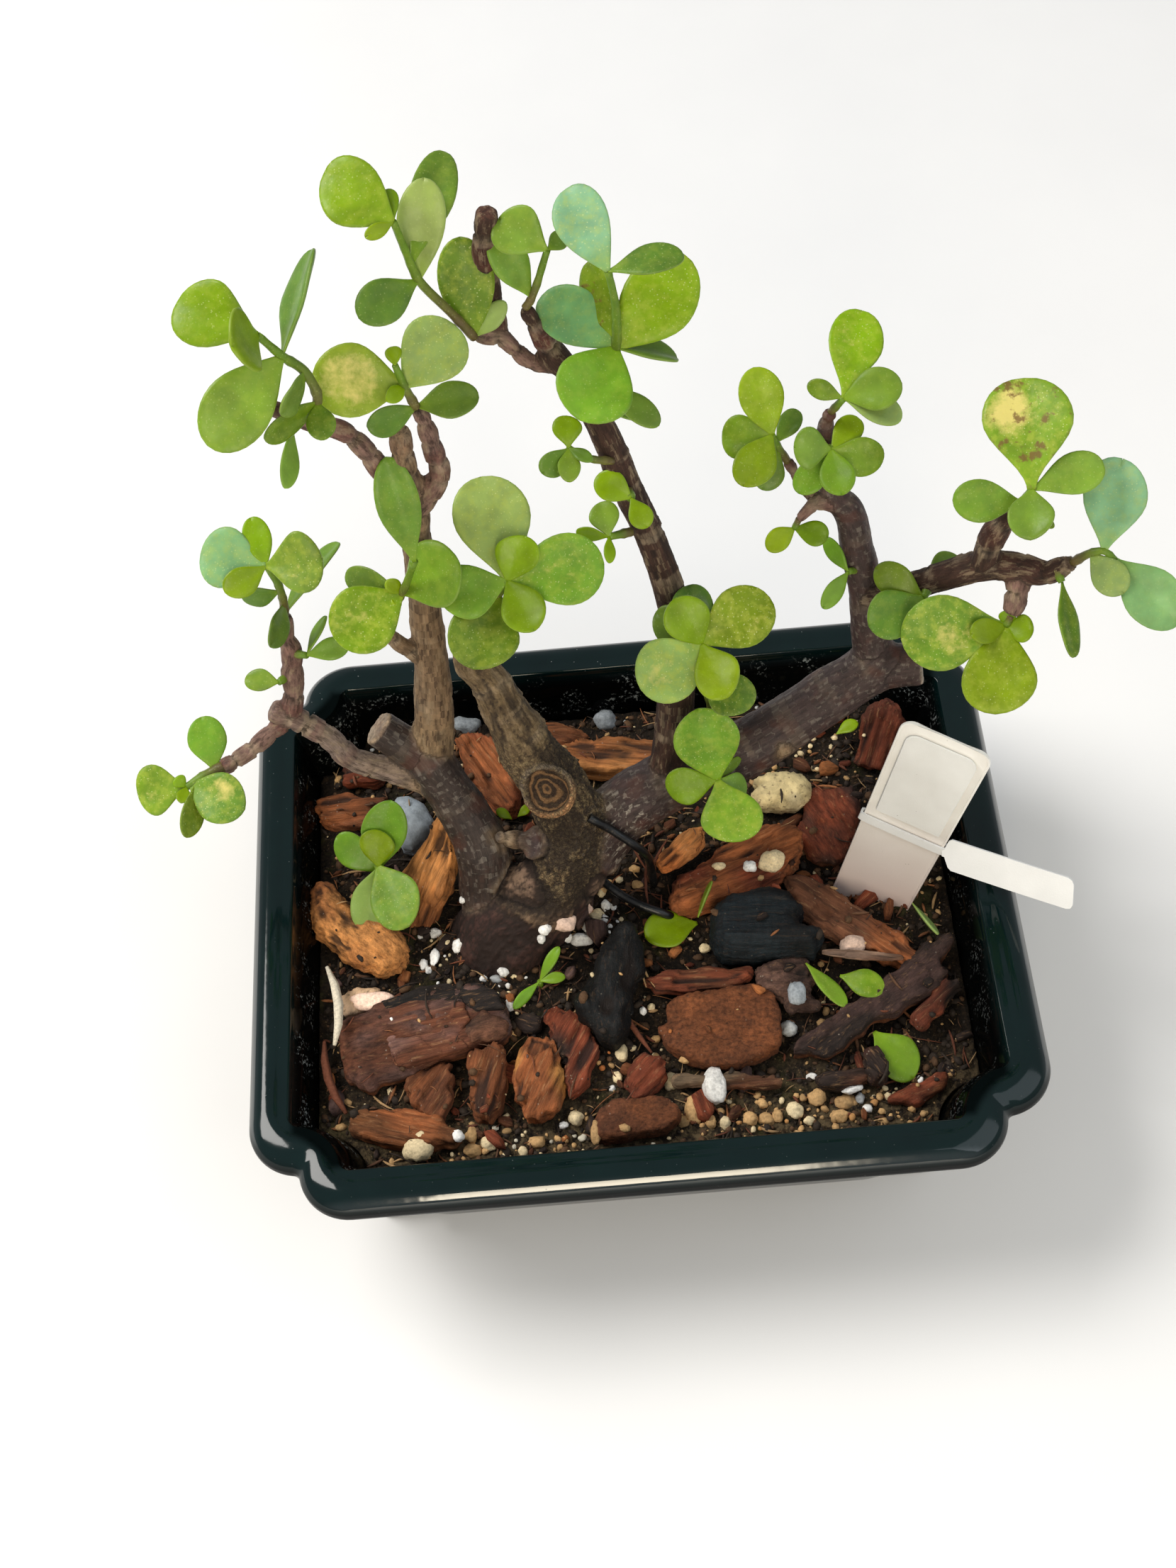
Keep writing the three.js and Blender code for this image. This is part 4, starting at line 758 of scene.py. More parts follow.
# The pot.
def corner_points(half_width, half_depth, inset):
    """The outline round one notched corner, moved in by `inset`."""
    cut = (math.sqrt(NOTCH**2 + 4 * (NOTCH * CUSP_RADIUS + CUSP_RADIUS**2 / 2)) - NOTCH) / 2
    turn = math.atan2(NOTCH + cut, cut)
    quarter = np.pi / 2

    def arc(x, y, radius, start, end, steps):
        angles = np.linspace(start, end, steps + 1)
        return np.stack([x + radius * np.cos(angles), y + radius * np.sin(angles)], axis=1)

    side = arc(half_width - NOTCH, half_depth - 2 * NOTCH, NOTCH - inset, 0, turn, 12)
    middle = (half_width - NOTCH + cut, half_depth - NOTCH + cut)
    cusp = arc(*middle, CUSP_RADIUS + inset, turn - np.pi, -quarter - turn, 9)
    end = arc(half_width - 2 * NOTCH, half_depth - NOTCH, NOTCH - inset, quarter - turn, quarter, 12)
    return np.vstack([side, cusp[1:-1], end])


def pot_ring(shrink, inset, z):
    """The whole outline at a height, smaller by `shrink` and then moved in by `inset`."""
    quarter = corner_points(POT_WIDTH / 2 - shrink, POT_DEPTH / 2 - shrink, inset)
    back = quarter[::-1]
    parts = [quarter, back * [-1, 1], quarter * [-1, -1], back * [1, -1]]
    outline = []
    for part, following in zip(parts, parts[1:] + parts[:1]):
        outline += [part, np.linspace(part[-1], following[0], 22)[1:-1]]
    flat = np.vstack(outline)
    return np.column_stack([flat, np.full(len(flat), z)])


def cavity_shrink(z):
    """How much smaller than the rim the hollow is at a height."""
    return 1.5 + 7.5 * (POT_HEIGHT - z) / (POT_HEIGHT - FLOOR_TOP)


# The pot's section from the underside up and over into the hollow: shrink, inset and height.
WALL = [[19.6, 0, 5], [18.9, 0, 6.6], [16.3, 0, 14], [10.2, 0, 30], [6, 0, 42], [3.8, 0, 48.5]]
LIP = [[3.8, 0, 48.5], [1.6, 0, 49.4], [0.5, 0, 50.6], [0.1, 0, 52.2], [0.1, 0, 53.6],
    [0.7, 0, 55.3], [1.9, 0, 56.8], [3.6, 0.3, 57.8], [3.0, 3, 57.9], [2.2, 5.4, 57.6], [1.6, 7.4, 57.5],
    [0.9, 9, 57.4], [0.3, 10, 56.8], [0.2, 10.5, 55.6], [1.6, 10.5, 53]]
HOLLOW = [[1.6, 10.5, 53], [4, 10.5, SOIL_TOP], [9, 10.5, FLOOR_TOP + 0.6], [10, 10.5, FLOOR_TOP]]


def pot_foot(x_side, y_side):
    """The low foot near one corner of the underside."""
    quarter = np.linspace(0, np.pi / 2, 7)
    corners = []
    for k, (x, y) in enumerate(((1, 1), (-1, 1), (-1, -1), (1, -1))):
        angles = quarter + k * np.pi / 2
        corners.append(np.stack([x * 11 + 4 * np.cos(angles), y * 5 + 4 * np.sin(angles)], axis=1))
    flat = np.vstack(corners) + [x_side * (POT_WIDTH / 2 - 38), y_side * (POT_DEPTH / 2 - 31)]
    middle = flat.mean(0)
    return loft([np.column_stack([middle + (flat - middle) * share, np.full(len(flat), z)])
        for share, z in ((0.94, 0), (1, 0.8), (1, 7))])


def glaze_zone(points):
    """How green, dusty, crusty and shiny the glaze is at each point."""
    x, y, z = points.T
    aside, forward = POT_WIDTH / 2 - abs(x), POT_DEPTH / 2 - abs(y)
    inwards = np.minimum(np.minimum(aside, forward), np.hypot(aside, forward) - NOTCH)
    top = smooth_step(z, 53, 56.5)
    rim = smooth_step(-inwards, -12, -9.5)
    edge = smooth_step(-inwards, -3.2, -1.2)
    # Green on the rim's top only; the walls and hollow stay black, partly as painted shade.
    green = top * (0.15 + 0.85 * rim)
    dusty = 0.25 + 0.5 * smooth_step(y, 20, 75) * top + 0.45 * smooth_step(-x, 60, 90) * (1 - top)
    low = smooth_step(z, 42, 46) * smooth_step(-z, -57, -53) * (1 - rim)
    crust = low * (0.35 + 0.65 * smooth_step(np.maximum(y, -x), 20, 70))
    shine = 0.014 + 0.18 * rim * top + 0.4 * edge * smooth_step(z, 54.8, 55.8)
    return stacked(green, np.clip(dusty, 0, 1), crust, np.clip(shine, 0, 1))


def make_pot(material):
    profile = []
    for rows, per in ((WALL, 3), (LIP, 4), (HOLLOW, 4)):
        places, _ = curve([[*row, 0] for row in rows], per)
        places[:, 0] = np.maximum(places[:, 0], 0.1)
        profile += places[: None if rows is HOLLOW else -1].tolist()
    shell = loft([pot_ring(*row) for row in profile])
    tools = [("UNION", *pot_foot(x, y)) for x, y in itertools.product((-1, 1), repeat=2)]
    for side in (-1, 1):
        hole = np.array([[side * DRAIN_SPACING / 2, 0, z] for z in (-5, 12, 25)])
        tools.append(("DIFFERENCE", *tube(hole, [DRAIN_RADIUS] * 3, 24)))
    points, faces = drilled(*shell, tools)
    add_piece("pot_glazed", Body(points, faces, zone=glaze_zone(points)), material, "pot")


# The tree's wood: bare colours, the limbs that have one, and TWIG for the rest.
CORK, LEFT, RIGHT, MIDDLE = (112, 92, 64), (52, 40, 34), (60, 45, 42), (60, 40, 31)
STEM, TWIG, FOOT, GREYED = (124, 101, 76), (116, 90, 80), (58, 37, 31), (126, 109, 98)
BARE = {"base": FOOT, "root_front": FOOT, "root_left": FOOT, "root_right": FOOT, "bulge": FOOT,
    "stem_scarred": CORK, "knob": RIGHT, "dead_stub": STEM, "trunk_left": LEFT, "stub_left": LEFT,
    "stem_left": STEM, "branch_low_left": GREYED, "twig_mid_left": STEM, "trunk_right": RIGHT,
    "stub_right": RIGHT, "knot_right": STEM, "stem_right": RIGHT, "stem_middle": MIDDLE,
    "branch_right": MIDDLE, "spur_right": MIDDLE, "stub_top": MIDDLE}
# Limbs the scene shows in a shape of its own, and swellings that only it shows.
RESHAPED = {
    "root_right": [[-18, 7, 58, 6.5], [-15, 6, 46, 4.5], [-14, 5, 34, 3]],
    "trunk_left": [[-36, 0, 40, 8], [-36, 2, 46, 7.5], [-36, 5, 54, 7.2], [-36, 11.5, 66, 6.9],
        [-41.5, 19.5, 77, 6], [-46, 24, 86, 5.9]],
    "stub_top": [[-17, 47, 201.5, 2], [-18, 49, 212.5, 2.4], [-18, 50, 223, 2.5], [-16.5, 50, 233, 2.2]],
}
SWELLINGS = {
    "bulge": [[-29, 2.5, 54.5, 6.5], [-22, 3, 56.5, 9.6], [-13, 5, 59.5, 8.2]],
    "knob": [[-19, 9.5, 66, 4.2], [-22.5, 7.3, 71, 4.6]],
    "dead_stub": [[-23, 9, 69, 2.8], [-28, 8.6, 71.2, 2.2], [-31.5, 7.8, 74.3, 1.2]],
}
SCAR_FOOT = np.array([-15.8, 14, 83])
SCAR_FACING = np.array([-0.2, -0.56, 0.8]) / np.linalg.norm([-0.2, -0.56, 0.8])
# The healed collar round the scar: how far out it stands, and its radius there.
SCAR_PROFILE = [(0.5, 6.8), (4, 6.6), (8, 6.3), (9, 5.8), (9.3, 5.1), (8.9, 3.8), (8.4, 2.4), (8.2, 0.8)]
SCRATCHED = np.array([-3, 7, 74])
# Where limbs were sawn through: the limb and the colour of its end.
SAWN = {"stub_left": (176, 152, 124), "stub_right": (150, 132, 112), "stub_top": (92, 58, 46),
    "dead_stub": (104, 90, 76)}


def scar_collar():
    side = unit(np.cross(SCAR_FACING, [0, 0, 1.0]))
    up = np.cross(SCAR_FACING, side)
    angles = np.arange(32) * np.pi / 16
    spokes = np.cos(angles)[:, None] * side + np.sin(angles)[:, None] * up
    return loft([SCAR_FOOT + SCAR_FACING * height + spokes * radius for height, radius in SCAR_PROFILE])


def scar_shares(points):
    """How much each point is scar, heart of the scar and its lower rim, and how far out it is."""
    spoke = points - SCAR_FOOT
    above = spoke @ SCAR_FACING
    radial = np.linalg.norm(spoke - above[:, None] * SCAR_FACING, axis=1)
    on_scar = smooth_step(above, 4.5, 7.5) * smooth_step(-radial, -7.2, -6.2)
    heart = smooth_step(-radial, -5.6, -4.9) * on_scar
    low = smooth_step(-spoke[:, 2] + spoke[:, 0] * 0.4, -9, -5)
    return on_scar, heart, low, radial


def sawn(colors, points, names, limbs):
    """The colours with the cut ends of the stubs in them."""
    for name, color in SAWN.items():
        places, radii = limbs[names.index(name)]
        beyond = (points - places[-1]) @ unit(places[-1] - places[-3])
        near = np.linalg.norm(points - places[-1], axis=1) < radii[-1] * 1.25
        face = (smooth_step(beyond, -0.7, -0.1) * near)[:, None]
        ringed = 0.6 + 0.4 * abs(fractal(points, 1.1, 2, 61))
        colors = colors * (1 - face) + face * linear(*color) * ringed[:, None]
    return colors


def along_limbs(points, limbs):
    """Each point's limb and the next nearest, its radius and place there, and the gap between."""
    reach, rows = [], []
    for places, radii in limbs:
        _, side, up = frames_along(places)
        spoke = points[:, None] - places[None]
        gaps = np.linalg.norm(spoke, axis=2) - radii
        best = gaps.argmin(axis=1)
        spoke = spoke[np.arange(len(points)), best]
        across = np.einsum("ij,ij->i", spoke, side[best])
        rise = np.einsum("ij,ij->i", spoke, up[best])
        reach.append(gaps.min(axis=1))
        rows.append(np.column_stack([radii[best], across, rise, lengths_along(places)[best]]))
    reach = np.array(reach)
    order = np.argsort(reach, axis=0)
    each = np.arange(len(points))
    row = np.array(rows)[order[0], each]
    return (order[0], order[1], *row.T, reach[order[1], each] - reach[order[0], each])


def make_wood(material):
    """All limbs in one skin with its bark; the layers tell the look what grows where and where shade is
    painted.
    """
    table = {**WOOD, **SWELLINGS, **RESHAPED}
    names = list(table)
    limbs = [curve(points, 10) for points in table.values()]
    bodies = []
    for places, radii in limbs:
        sides = 20 if radii.max() > 4 else 14
        bodies.append(Body(*tube(places, radii, sides)))
    bodies.append(Body(*scar_collar()))
    skin = merged(bodies)
    points, faces = rounded(skin.points, skin.faces, WOOD_VOXEL)
    edges = edges_of(faces)
    points = softened(points, edges, 3)
    limb, beside, radius, across, up, length, apart = along_limbs(points, limbs)

    def among(*chosen):
        return np.array([name in chosen for name in names], float)[limb]

    def bare(*tones):
        return np.array([BARE.get(name) in tones for name in names], float)[limb]

    level = points[:, 2]
    hues = np.array([linear(*BARE.get(name, TWIG)) for name in names])[limb]
    corky = among("stem_scarred", "base") * smooth_step(level, 57, 63)
    hues = hues * (1 - corky[:, None]) + corky[:, None] * linear(*CORK)
    corky = corky * (1 - 0.75 * smooth_step(level, 94, 108))
    blended = np.column_stack([hues, corky, radius, bare(LEFT, RIGHT), bare(FOOT) * (1 - corky)])
    blended = softened(blended, edges, 8)
    colors, (corky, radius, smooth, dark_foot) = blended[:, :3], blended[:, 3:].T
    normals = normals_of(points, faces)
    grain = np.column_stack([across, up, length * 0.3]) + limb[:, None] * 17.0
    girth = smooth_step(radius, 1.2, 8)
    twig = smooth_step(-radius, -3.6, -2.2)

    # Rings a leaf's width apart, each a groove with a raised lip.
    spacing = np.where(radius > 3.4, 11.5, 7.0) * (1 + 0.25 * np.sin(limb * 2.7))
    wander = 0.8 * lattice_noise(points / 5, 5)
    turn = (length + wander) / spacing
    share = turn % 1
    seam = np.minimum(share, 1 - share) * spacing
    groove = np.exp(-((seam / 0.42) ** 2))
    lip = np.exp(-(((seam - 1.0) / 0.6) ** 2))
    bead = 1 - abs(2 * share - 1) ** 2.5
    step = lattice_noise(np.column_stack([np.floor(turn), limb, limb]) * 7.3, 8)
    partial = smooth_step(lattice_noise(points / 4.5, 91), -0.25, 0.4)
    marked = partial * (0.9 * (1 - corky) * (1 - smooth) * (1 - dark_foot) + 0.2 * smooth)

    # Bark's relief, in millimetres outwards.
    fibre = np.maximum(0, 1 - 3.4 * abs(lattice_noise(grain * [1, 1, 0.8] / 1.7, 11)))
    net = np.maximum(0, 1 - 3.2 * abs(lattice_noise(points / 1.5, 13)))
    net = np.maximum(net, np.maximum(0, 1 - 3.2 * abs(lattice_noise(points / 1.1, 14))))
    wrinkle = np.maximum(0, 1 - 2.6 * abs(lattice_noise(grain * [0.25, 0.25, 1.6] / 1.6, 19)))
    lumps = fractal(points, 12, 3, 23)
    fine = fractal(grain, 1.2, 3, 31)
    plain = 1 - smooth
    lift = lumps * (0.1 + 0.6 * girth) + twig * (0.3 * radius * (bead - 0.6))
    lift += (lip * 0.35 - groove * 0.4) * marked * (0.6 + girth) + 0.1 * step * plain
    lift += fine * (0.05 + 0.12 * girth)
    lift -= fibre * (0.08 + 0.2 * girth) * (1 - corky) * (1 - 0.7 * smooth) * (1 - 0.5 * twig)
    lift -= (net * 0.28 + wrinkle * 0.45) * corky
    lift -= dark_foot * (0.35 * net + 0.25 * wrinkle)
    grown = np.array([name in SWELLINGS for name in names])
    joined = (grown[limb] | grown[beside]) * girth
    crease = np.exp(-((apart / 0.55) ** 2)) * joined
    callus = np.exp(-(((apart - 1.6) / 0.9) ** 2)) * joined
    lift += 0.4 * callus - 0.75 * crease
    on_scar, heart, low, radial = scar_shares(points)
    lift = lift * (1 - 0.6 * on_scar) - heart * 1.1 + 0.6 * (on_scar - heart)
    points = points + normals * lift[:, None]

    def tinted(share, color):
        return colors * (1 - share[:, None]) + share[:, None] * linear(*color)

    colors = tinted(0.6 * among("bulge"), (124, 98, 82))
    colors = tinted(0.35 * callus, (140, 118, 90))
    ruddy = smooth_step(step, -0.1, 0.5) * twig
    colors = tinted(0.6 * ruddy * bead, (92, 46, 38))
    colors = tinted(0.8 * (groove + 0.6 * lip) * marked, (160, 142, 118))
    # Painted shade in the creases where the swellings meet their limbs.
    colors = tinted(0.8 * crease, (34, 24, 19))
    near_fork = among("branch_low_left", "stem_left") * smooth_step(-length, -26, -6)
    colors = tinted(0.5 * near_fork * smooth_step(lumps, -0.6, 0.4), (150, 125, 90))
    rim = on_scar - heart
    colors = tinted(0.7 * rim * low, (206, 150, 100))
    colors = tinted(0.5 * rim * (1 - low), (132, 122, 110))
    colors = sawn(colors, points, names, limbs)
    # Painted shade: depth is low where the relief sinks and in the net and fibre cracks, and the look
    # darkens it there; the scar's heart is spared.
    depth = np.clip(0.6 + lift * 0.5 - 0.25 * net * (corky + dark_foot) - 0.3 * fibre * plain, 0, 1)
    depth = np.maximum(depth, 0.6 * heart)
    wet = np.clip(smooth + 0.5 * ruddy, 0, 1)
    flaky = np.clip(plain * (1 - corky) * (1 - dark_foot), 0, 1)
    scratched = smooth_step(-np.linalg.norm(points - SCRATCHED, axis=1), -13, -6)
    body = Body(points, faces, tint=stacked(*colors.T, 1), grain=stacked(*grain.T, 1),
        trait=stacked(corky, depth, wet, flaky), scar=stacked(radial / SCAR_UNIT, heart, scratched, 1))
    add_piece("tree_wood_bark", body, material, "tree_wood")
    return body


# Leaves. A look code is a hue, a digit for speckles, then b and a digit for a bleached patch,
# c for a notched tip, h for a patch set high, n for a narrow foot and s for sores.
# B and C are the bluish-green leaves; their hues are lifted paler to carry a painted whitish-blue sheen, C
# the most.
HUES = {"L": (120, 149, 4), "F": (109, 148, 33), "M": (110, 144, 44), "D": (92, 124, 40),
    "B": (112, 160, 100), "C": (132, 180, 126), "O": (97, 126, 20), "G": (138, 163, 86),
    "Y": (128, 154, 38)}
BLADE_ROWS = [0, 0.04, 0.1, 0.18, 0.27, 0.36, 0.45, 0.54, 0.62, 0.7, 0.78, 0.85, 0.91, 0.955, 0.985, 1]


def blade(base, form, look, draw):
    """A fleshy spoon-shaped leaf; `form` is azimuth, elevation, length, width and roll."""
    azimuth, elevation, length, width, roll = form
    az, el, tilt = (math.radians(angle) for angle in (azimuth, elevation, roll))
    along = np.array([math.cos(el) * math.cos(az), math.cos(el) * math.sin(az), math.sin(el)])
    level = np.array([-math.sin(az), math.cos(az), 0])
    face = np.cross(along, level) * math.cos(tilt) + level * math.sin(tilt)
    across = np.cross(face, along)
    t = np.array(BLADE_ROWS)[:, None]
    widest = draw.uniform(0.56, 0.64)
    narrowing = 1.85 if "n" in look else draw.uniform(1.05, 1.6)
    swell = 0.1 + 0.9 * np.sin(np.pi / 2 * np.minimum(t / widest, 1)) ** narrowing
    tip = np.sqrt(np.maximum(1 - (np.maximum(t - widest, 0) / (1 - widest)) ** 2, 0.0004))
    share = swell * tip
    angles = (np.arange(20) + 0.5) * np.pi / 10
    x, y = np.cos(angles)[None], np.sin(angles)[None]
    flesh = min(0.5 + 0.05 * width, 1.2)
    half = share * width / 2
    fold = draw.uniform(0.14, 0.34)
    crease = np.sqrt(x**2 + 0.012) - 0.11
    wave = draw.uniform(0.15, 0.5) * np.sin(t * draw.uniform(5, 9) + x * 2 + draw.uniform(0, 6))
    lift = fold * half * crease + wave * abs(x) * share * min(width / 14, 1)
    thick = np.where(y > 0, flesh * 0.85, flesh * 0.75) * np.sign(y) * abs(y) ** 0.8
    lift = lift + thick * np.sqrt(share)
    bend = draw.uniform(-0.05, 0.05) * length * t**2
    cup = draw.uniform(-0.12, 0.04) * length * (t**2 - 0.35 * t)
    notch = (2.2 if "c" in look else draw.choice((0, 0, 0.35, 0.7))) * np.exp(-((x / 0.28) ** 2))
    reach = t * length - notch * smooth_step(t, 0.75, 1)
    lean = draw.uniform(-0.16, 0.16)
    reach = reach + lean * half * x * smooth_step(t, 0.3, 1)
    points = (base + reach[..., None] * along + (half * x + bend)[..., None] * across
        + (lift + cup)[..., None] * face)
    skin, faces = loft(points)
    hue = linear(*HUES[look[0]]) * draw.uniform(0.85, 1.15)
    hue = hue * [draw.uniform(0.9, 1.12), 1, draw.uniform(0.8, 1.2)]
    speckle = int(look[1]) / 9
    bleach = int(look[look.index("b") + 1]) / 9 if "b" in look else 0
    high, aside = (0.72, 0.4) if "h" in look else (draw.uniform(0.45, 0.8), draw.uniform(-0.4, 0.4))
    patch = bleach * np.exp(-(((t - high) / 0.24) ** 2) - ((x - aside) / 0.55) ** 2)
    if look[0] == "Y":
        edge = np.maximum(abs(x), abs(t - 0.6) * 2.2)
        patch = bleach * (1 - smooth_step(edge, 0.45, 0.95))
    place = np.stack(np.broadcast_arrays(t, abs(x)), axis=-1).reshape(-1, 2)
    place = np.vstack([place, [[0, 0], [1, 0]]])
    trait = stacked(place[:, 0], place[:, 1], speckle, float("s" in look))
    return Body(skin, faces, tint=stacked(*hue, [*patch.ravel(), 0, 0]), trait=trait)


def make_spray(name, stem, leaves, looks, material, draw):
    """A stem, brown at its foot and green at its tip, with its leaves."""
    rows = np.array(stem)[:, :3]
    bodies = []
    for (at, *form), look in zip(leaves, looks.split()):
        k = min(int(at), len(rows) - 2)
        base = rows[k] + (rows[k + 1] - rows[k]) * (at - k)
        bodies.append(blade(base, form, look, draw))
    places, radii = curve(stem, 6)
    length = lengths_along(places)
    radii = radii * (1 + 0.18 * np.exp(-((length % 4.2 - 2.1) / 0.5) ** 2))
    skin = tube(places, radii, 10)
    young = smooth_step(np.append(np.repeat(length / length[-1], 10), [0, 1]), 0.1, 0.8)[:, None]
    tone = linear(98, 84, 52) * (1 - young) + linear(96, 128, 34) * young
    bodies.append(Body(*skin, tint=stacked(*tone.T, 0), trait=stacked(0.6, 0.5, 0.2, 0)))
    add_piece(name + "_leaves", merged(bodies), material, name)


# Leaves that lie on the mix: base, form and look code.
FALLEN = {"fallen_leaf_front": ([16.1, -4, 44.3], [-167, 3, 13.8, 11, 0], "L0"),
    "fallen_leaf_right": ([56, -39.2, 45.2], [-56, -6, 14.8, 11.5, 0], "F1")}
LITTER = [([41.6, -20.3, 48.2], [-55, -6, 14.9, 5.5, 20], "F2"),
    ([49.5, -24.5, 48], [-26, 3, 11.5, 7.3, -10], "O3"),
    ([16.2, -6, 50.5], [63, 20, 10, 2.8, 60], "O2"), ([70, -6, 48.5], [-65, 4, 11.2, 3.2, 50], "G2"),
    ([58, 48.5, 47], [20, 15, 6.5, 4.5, 10], "L1"), ([-28, 17, 67.5], [150, 25, 4.5, 2.6, 20], "L0"),
    ([-26.5, 17.5, 67.5], [30, 20, 4, 2.4, -20], "L1")]


# The mix and what lies on it.
def soil_outline(x, shrink):
    """How far back the cavity reaches at each x."""
    quarter = corner_points(POT_WIDTH / 2 - shrink, POT_DEPTH / 2 - shrink, RIM_WIDTH)
    order = np.argsort(quarter[:, 0], kind="stable")
    return np.interp(abs(x), quarter[order, 0], quarter[order, 1])


def soil_height(x, y):
    """The top of the mix, heaped a little round the tree."""
    heaped = SOIL_TOP + 0.8 * np.sin(x / 9) * np.cos(y / 11)
    heaped = heaped + 1.6 * np.exp(-((x + 25) ** 2 + y**2) / 1800)
    flat = np.column_stack([np.ravel(x), np.ravel(y), np.zeros(np.size(x))])
    crumbs = 0.75 * fractal(flat, 5.5, 2, 3) + 0.75 * abs(fractal(flat, 2.2, 3, 9))
    return heaped + crumbs.reshape(np.shape(x)) - 0.3


def make_soil(material):
    """The mix: a crumbly top over sides and a base that stay clear of the pot."""
    shrink = cavity_shrink(SOIL_TOP) + 0.35
    reach = POT_WIDTH / 2 - shrink - RIM_WIDTH
    x = np.linspace(-reach, reach, 220)[:, None]
    across = np.linspace(-1, 1, 172)[None]
    y = across * (soil_outline(x, shrink) - 0.02)
    x = np.broadcast_to(x, y.shape)
    z = soil_height(x, y)
    rows, columns = y.shape
    index = np.arange(rows * columns).reshape(rows, columns)
    quads = np.stack([index[:-1, :-1], index[1:, :-1], index[1:, 1:], index[:-1, 1:]], axis=-1)
    faces = quads.reshape(-1, 4).tolist()
    points = np.stack([x, y, z], axis=-1).reshape(-1, 3)
    border = np.concatenate([index[:-1, 0], index[-1, :-1], index[:0:-1, -1], index[0, :0:-1]])
    edge = points[border]
    loops = [border]
    for level, scale in ((30, 0.975), (FLOOR_TOP + 0.3, 0.94)):
        loops.append(np.arange(len(border)) + len(points))
        points = np.vstack([points, np.column_stack([edge[:, :2] * scale, np.full(len(edge), level)])])
    for upper, lower in zip(loops, loops[1:]):
        turned, below = np.roll(upper, -1), np.roll(lower, -1)
        faces += np.stack([lower, below, turned, upper], axis=-1).tolist()
    middle = len(points)
    points = np.vstack([points, [[0, 0, FLOOR_TOP + 0.3]]])
    faces += [(middle, b, a) for a, b in zip(loops[-1].tolist(), np.roll(loops[-1], -1).tolist())]
    flat = points * [1, 1, 0]
    # The trait's first number is low where the top sinks, and the look paints shade there.
    dent = abs(fractal(flat, 2.2, 3, 9))
    moss = smooth_step(lattice_noise(flat / 14, 77), 0.1, 0.5)
    body = Body(points, faces, trait=stacked(np.clip(0.15 + dent, 0, 1), moss, 0, 0))
    add_piece("soil_mix", body, material, "soil")
    return body


